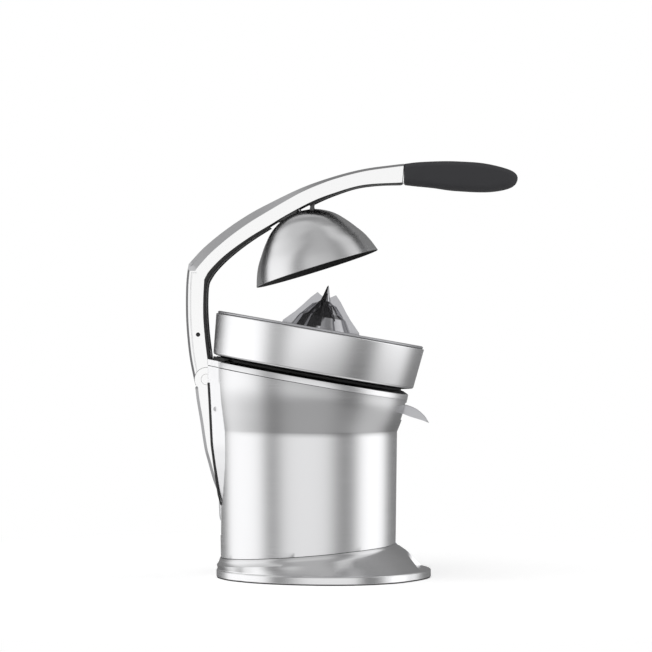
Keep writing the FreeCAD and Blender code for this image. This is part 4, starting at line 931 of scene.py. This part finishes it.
CARRIED = {
    "polished_side": ["arm_pivot_pins"],
    "strainer_steel": ["spout"],
    "reamer_steel": ["reamer_cone"],
    "black_plastic": ["arm_set_screw", "drive_deck", "spine_caps", "base_plate", "spout_bracket",
                      "gear_case", "gear_cover", "motor_end_cap", "cord_gland"],
    "rubber": ["rubber_feet", "drain_sleeve", "shaft_seal"],
    "white_plastic": ["reamer_hub", "idler_gear", "start_switch", "switch_plunger"],
    "machined_steel": ["base_screws", "grip_screws", "dome_screw", "arm_link_pin",
                       "rear_link_pin", "front_link_pin", "front_link", "link_frame",
                       "drive_shaft", "idler_pin", "motor_can", "motor_rotor", "gear_midplate", "spout_pins",
                       "output_gear"],
    "brass": ["motor_pinion", "board_standoffs", "upper_bearing", "lower_bearing"],
    "magnet": ["motor_magnets"],
    "board_green": ["control_board"],
}


class PRESS_OT_carried(bpy.types.Operator):
    """Finishes for the pieces that keep their built shape"""
    bl_idname = "press.carried"
    bl_label = "Carried-over pieces"

    def execute(self, context):
        mats = finishes()
        for name, nodes in CARRIED.items():
            for node in nodes:
                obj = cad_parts[node]
                for slot in obj.material_slots:
                    slot.material = mats[name]
                if not obj.material_slots:
                    obj.data.materials.append(mats[name])
        return {"FINISHED"}


class PRESS_OT_stage(bpy.types.Operator):
    """Camera, pale floor, soft lamp and the room's light"""
    bl_idname = "press.stage"
    bl_label = "Stage"

    def execute(self, context):
        scene = context.scene
        scene.view_settings.view_transform = "Standard"
        lens = bpy.data.cameras.new("camera")
        lens.sensor_width = 36.0
        lens.lens = FOCAL
        lens.clip_end = 60.0
        camera = bpy.data.objects.new("camera", lens)
        scene.collection.objects.link(camera)
        turn = math.radians(2.5)
        target = Vector((0.0173, 0.0, 0.2428))
        camera.location = Vector((target.x + REACH * math.sin(turn), -REACH * math.cos(turn), EYE))
        camera.rotation_euler = (target - camera.location).to_track_quat("-Z", "Y").to_euler()
        scene.camera = camera

        floor = bpy.data.meshes.new("floor")
        n = 18.0
        floor.from_pydata([(-n, -n, 0), (n, -n, 0), (n, n, 0), (-n, n, 0)], [], [(0, 1, 2, 3)])
        ground = bpy.data.objects.new("floor", floor)
        scene.collection.objects.link(ground)
        floor.materials.append(floor_finish(tuple(scene.press_finish.floor)))

        lamp = bpy.data.lights.new("softbox", "AREA")
        lamp.shape, lamp.size, lamp.size_y = "RECTANGLE", 1.4, 1.4
        lamp.energy = 9.0
        box = bpy.data.objects.new("softbox", lamp)
        box.location = (-0.5, -0.9, 1.9)
        box.visible_glossy = False
        box.rotation_euler = (Vector((0, 0, 0.2)) - box.location).to_track_quat("-Z", "Y").to_euler()
        scene.collection.objects.link(box)
        scene.world = room_light()
        return {"FINISHED"}


def floor_finish(colour):
    """A pale floor that keeps the shadow, white to the camera and open to reflections."""
    mat = shader("pale_floor", colour, 0.0, 0.9)
    tree = mat.node_tree
    new, link = tree.nodes.new, tree.links.new
    bsdf, out = tree.nodes["Principled BSDF"], tree.nodes["Material Output"]
    path = new("ShaderNodeLightPath")
    glow = new("ShaderNodeEmission")
    glow.inputs["Color"].default_value = (1, 1, 1, 1)
    lift = new("ShaderNodeMath")
    lift.operation = "MULTIPLY"
    lift.inputs[1].default_value = 0.44
    add = new("ShaderNodeAddShader")
    clear = new("ShaderNodeBsdfTransparent")
    pick = new("ShaderNodeMixShader")
    where = new("ShaderNodeTexCoord")
    reach = new("ShaderNodeVectorMath")
    reach.operation = "LENGTH"
    away = new("ShaderNodeMapRange")
    away.interpolation_type = "SMOOTHSTEP"
    away.inputs["From Min"].default_value, away.inputs["From Max"].default_value = 0.26, 0.6
    open_floor = new("ShaderNodeMath")
    open_floor.operation = "MULTIPLY"
    white = new("ShaderNodeEmission")
    white.inputs["Color"].default_value = (1, 1, 1, 1)
    fade = new("ShaderNodeMixShader")
    link(where.outputs["Object"], reach.inputs[0])
    link(reach.outputs["Value"], away.inputs["Value"])
    link(away.outputs["Result"], open_floor.inputs[0])
    link(path.outputs["Is Camera Ray"], open_floor.inputs[1])
    link(path.outputs["Is Camera Ray"], lift.inputs[0])
    link(lift.outputs[0], glow.inputs["Strength"])
    link(bsdf.outputs[0], add.inputs[0])
    link(glow.outputs[0], add.inputs[1])
    link(path.outputs["Is Glossy Ray"], pick.inputs[0])
    link(open_floor.outputs[0], fade.inputs[0])
    link(add.outputs[0], fade.inputs[1])
    link(white.outputs[0], fade.inputs[2])
    link(fade.outputs[0], pick.inputs[1])
    link(clear.outputs[0], pick.inputs[2])
    link(pick.outputs[0], out.inputs["Surface"])
    return mat


def level_ramp(tree, value, low, high, marks):
    """A grey ColorRamp over a value that runs from low to high, marked in the value's own unit."""
    new, link = tree.nodes.new, tree.links.new
    spread = new("ShaderNodeMapRange")
    spread.inputs["From Min"].default_value = low
    spread.inputs["From Max"].default_value = high
    ramp = new("ShaderNodeValToRGB")
    ramp.color_ramp.interpolation = "EASE"
    stops = ramp.color_ramp.elements
    stops.remove(stops[1])
    for i, (at, level) in enumerate(marks):
        place = (at - low) / (high - low)
        stop = stops[0] if i == 0 else stops.new(place)
        stop.position = place
        stop.color = (level, level, level, 1.0)
    link(value, spread.inputs["Value"])
    link(spread.outputs["Result"], ramp.inputs["Fac"])
    return ramp.outputs["Color"]


def room_light():
    """A studio room: white to the camera, softboxes and dark gaps round the horizon in reflections."""
    world = bpy.data.worlds.new("room")
    world.use_nodes = True
    tree = world.node_tree
    new, link = tree.nodes.new, tree.links.new
    back, out = tree.nodes["Background"], tree.nodes["World Output"]
    where = new("ShaderNodeTexCoord")
    parts = new("ShaderNodeSeparateXYZ")
    flip = new("ShaderNodeMath")
    flip.operation = "MULTIPLY"
    flip.inputs[1].default_value = -1.0
    turn = new("ShaderNodeMath")
    turn.operation = "ARCTAN2"
    degrees = new("ShaderNodeMath")
    degrees.operation = "DEGREES"
    link(where.outputs["Generated"], parts.inputs[0])
    link(parts.outputs["Y"], flip.inputs[0])
    link(parts.outputs["X"], turn.inputs[0])
    link(flip.outputs[0], turn.inputs[1])
    link(turn.outputs[0], degrees.inputs[0])
    colour, below = None, None
    for height, boxes, gaps in HEIGHTS:
        level = level_ramp(tree, degrees.outputs[0], -180, 180, room_marks(boxes, gaps))
        if colour is not None:
            share = new("ShaderNodeMapRange")
            share.inputs["From Min"].default_value = below
            share.inputs["From Max"].default_value = height
            blend = new("ShaderNodeMix")
            blend.data_type = "RGBA"
            link(parts.outputs["Z"], share.inputs["Value"])
            link(share.outputs["Result"], blend.inputs["Factor"])
            link(colour, [i for i in blend.inputs if i.type == "RGBA"][0])
            link(level, [i for i in blend.inputs if i.type == "RGBA"][1])
            level = [o for o in blend.outputs if o.type == "RGBA"][0]
        colour, below = level, height
    link(colour, back.inputs["Color"])
    back.inputs["Strength"].default_value = ROOM_STRENGTH
    plain = new("ShaderNodeBackground")
    plain.inputs["Color"].default_value = (1, 1, 1, 1)
    path = new("ShaderNodeLightPath")
    pick = new("ShaderNodeMixShader")
    link(path.outputs["Is Camera Ray"], pick.inputs[0])
    link(back.outputs[0], pick.inputs[1])
    link(plain.outputs[0], pick.inputs[2])
    link(pick.outputs[0], out.inputs["Surface"])
    return world


class PRESS_PT_panel(bpy.types.Panel):
    """Sizes, colours and the piece operators"""
    bl_idname = "PRESS_PT_panel"
    bl_label = "Citrus press"
    bl_space_type = "VIEW_3D"
    bl_region_type = "UI"
    bl_category = "Citrus press"

    def draw(self, context):
        for group in GROUPS:
            box = self.layout.box()
            settings = getattr(context.scene, group)
            for name in settings.bl_rna.properties.keys():
                if name not in ("rna_type", "name"):
                    box.prop(settings, name)
        for step in STEPS:
            self.layout.operator(step.bl_idname)


GROUPS = {"press_body": PressBodySizes, "press_bowl": PressBowlSizes, "press_lever": PressLeverSizes,
          "press_finish": PressFinish}
STEPS = [PRESS_OT_stage, PRESS_OT_body, PRESS_OT_slot_cheeks, PRESS_OT_ring, PRESS_OT_base, PRESS_OT_bowl,
         PRESS_OT_strainer, PRESS_OT_dome, PRESS_OT_lever, PRESS_OT_bracket, PRESS_OT_insert, PRESS_OT_grip,
         PRESS_OT_rear_link, PRESS_OT_carried]


def register():
    for cls in list(GROUPS.values()) + STEPS + [PRESS_PT_panel]:
        bpy.utils.register_class(cls)
    for name, group in GROUPS.items():
        setattr(bpy.types.Scene, name, bpy.props.PointerProperty(type=group))


def unregister():
    for name in GROUPS:
        delattr(bpy.types.Scene, name)
    for cls in [PRESS_PT_panel] + STEPS[::-1] + list(GROUPS.values())[::-1]:
        bpy.utils.unregister_class(cls)


def main():
    register()
    for step in STEPS:
        group, name = step.bl_idname.split(".")
        getattr(getattr(bpy.ops, group), name)()


if __name__ == "__main__":
    main()
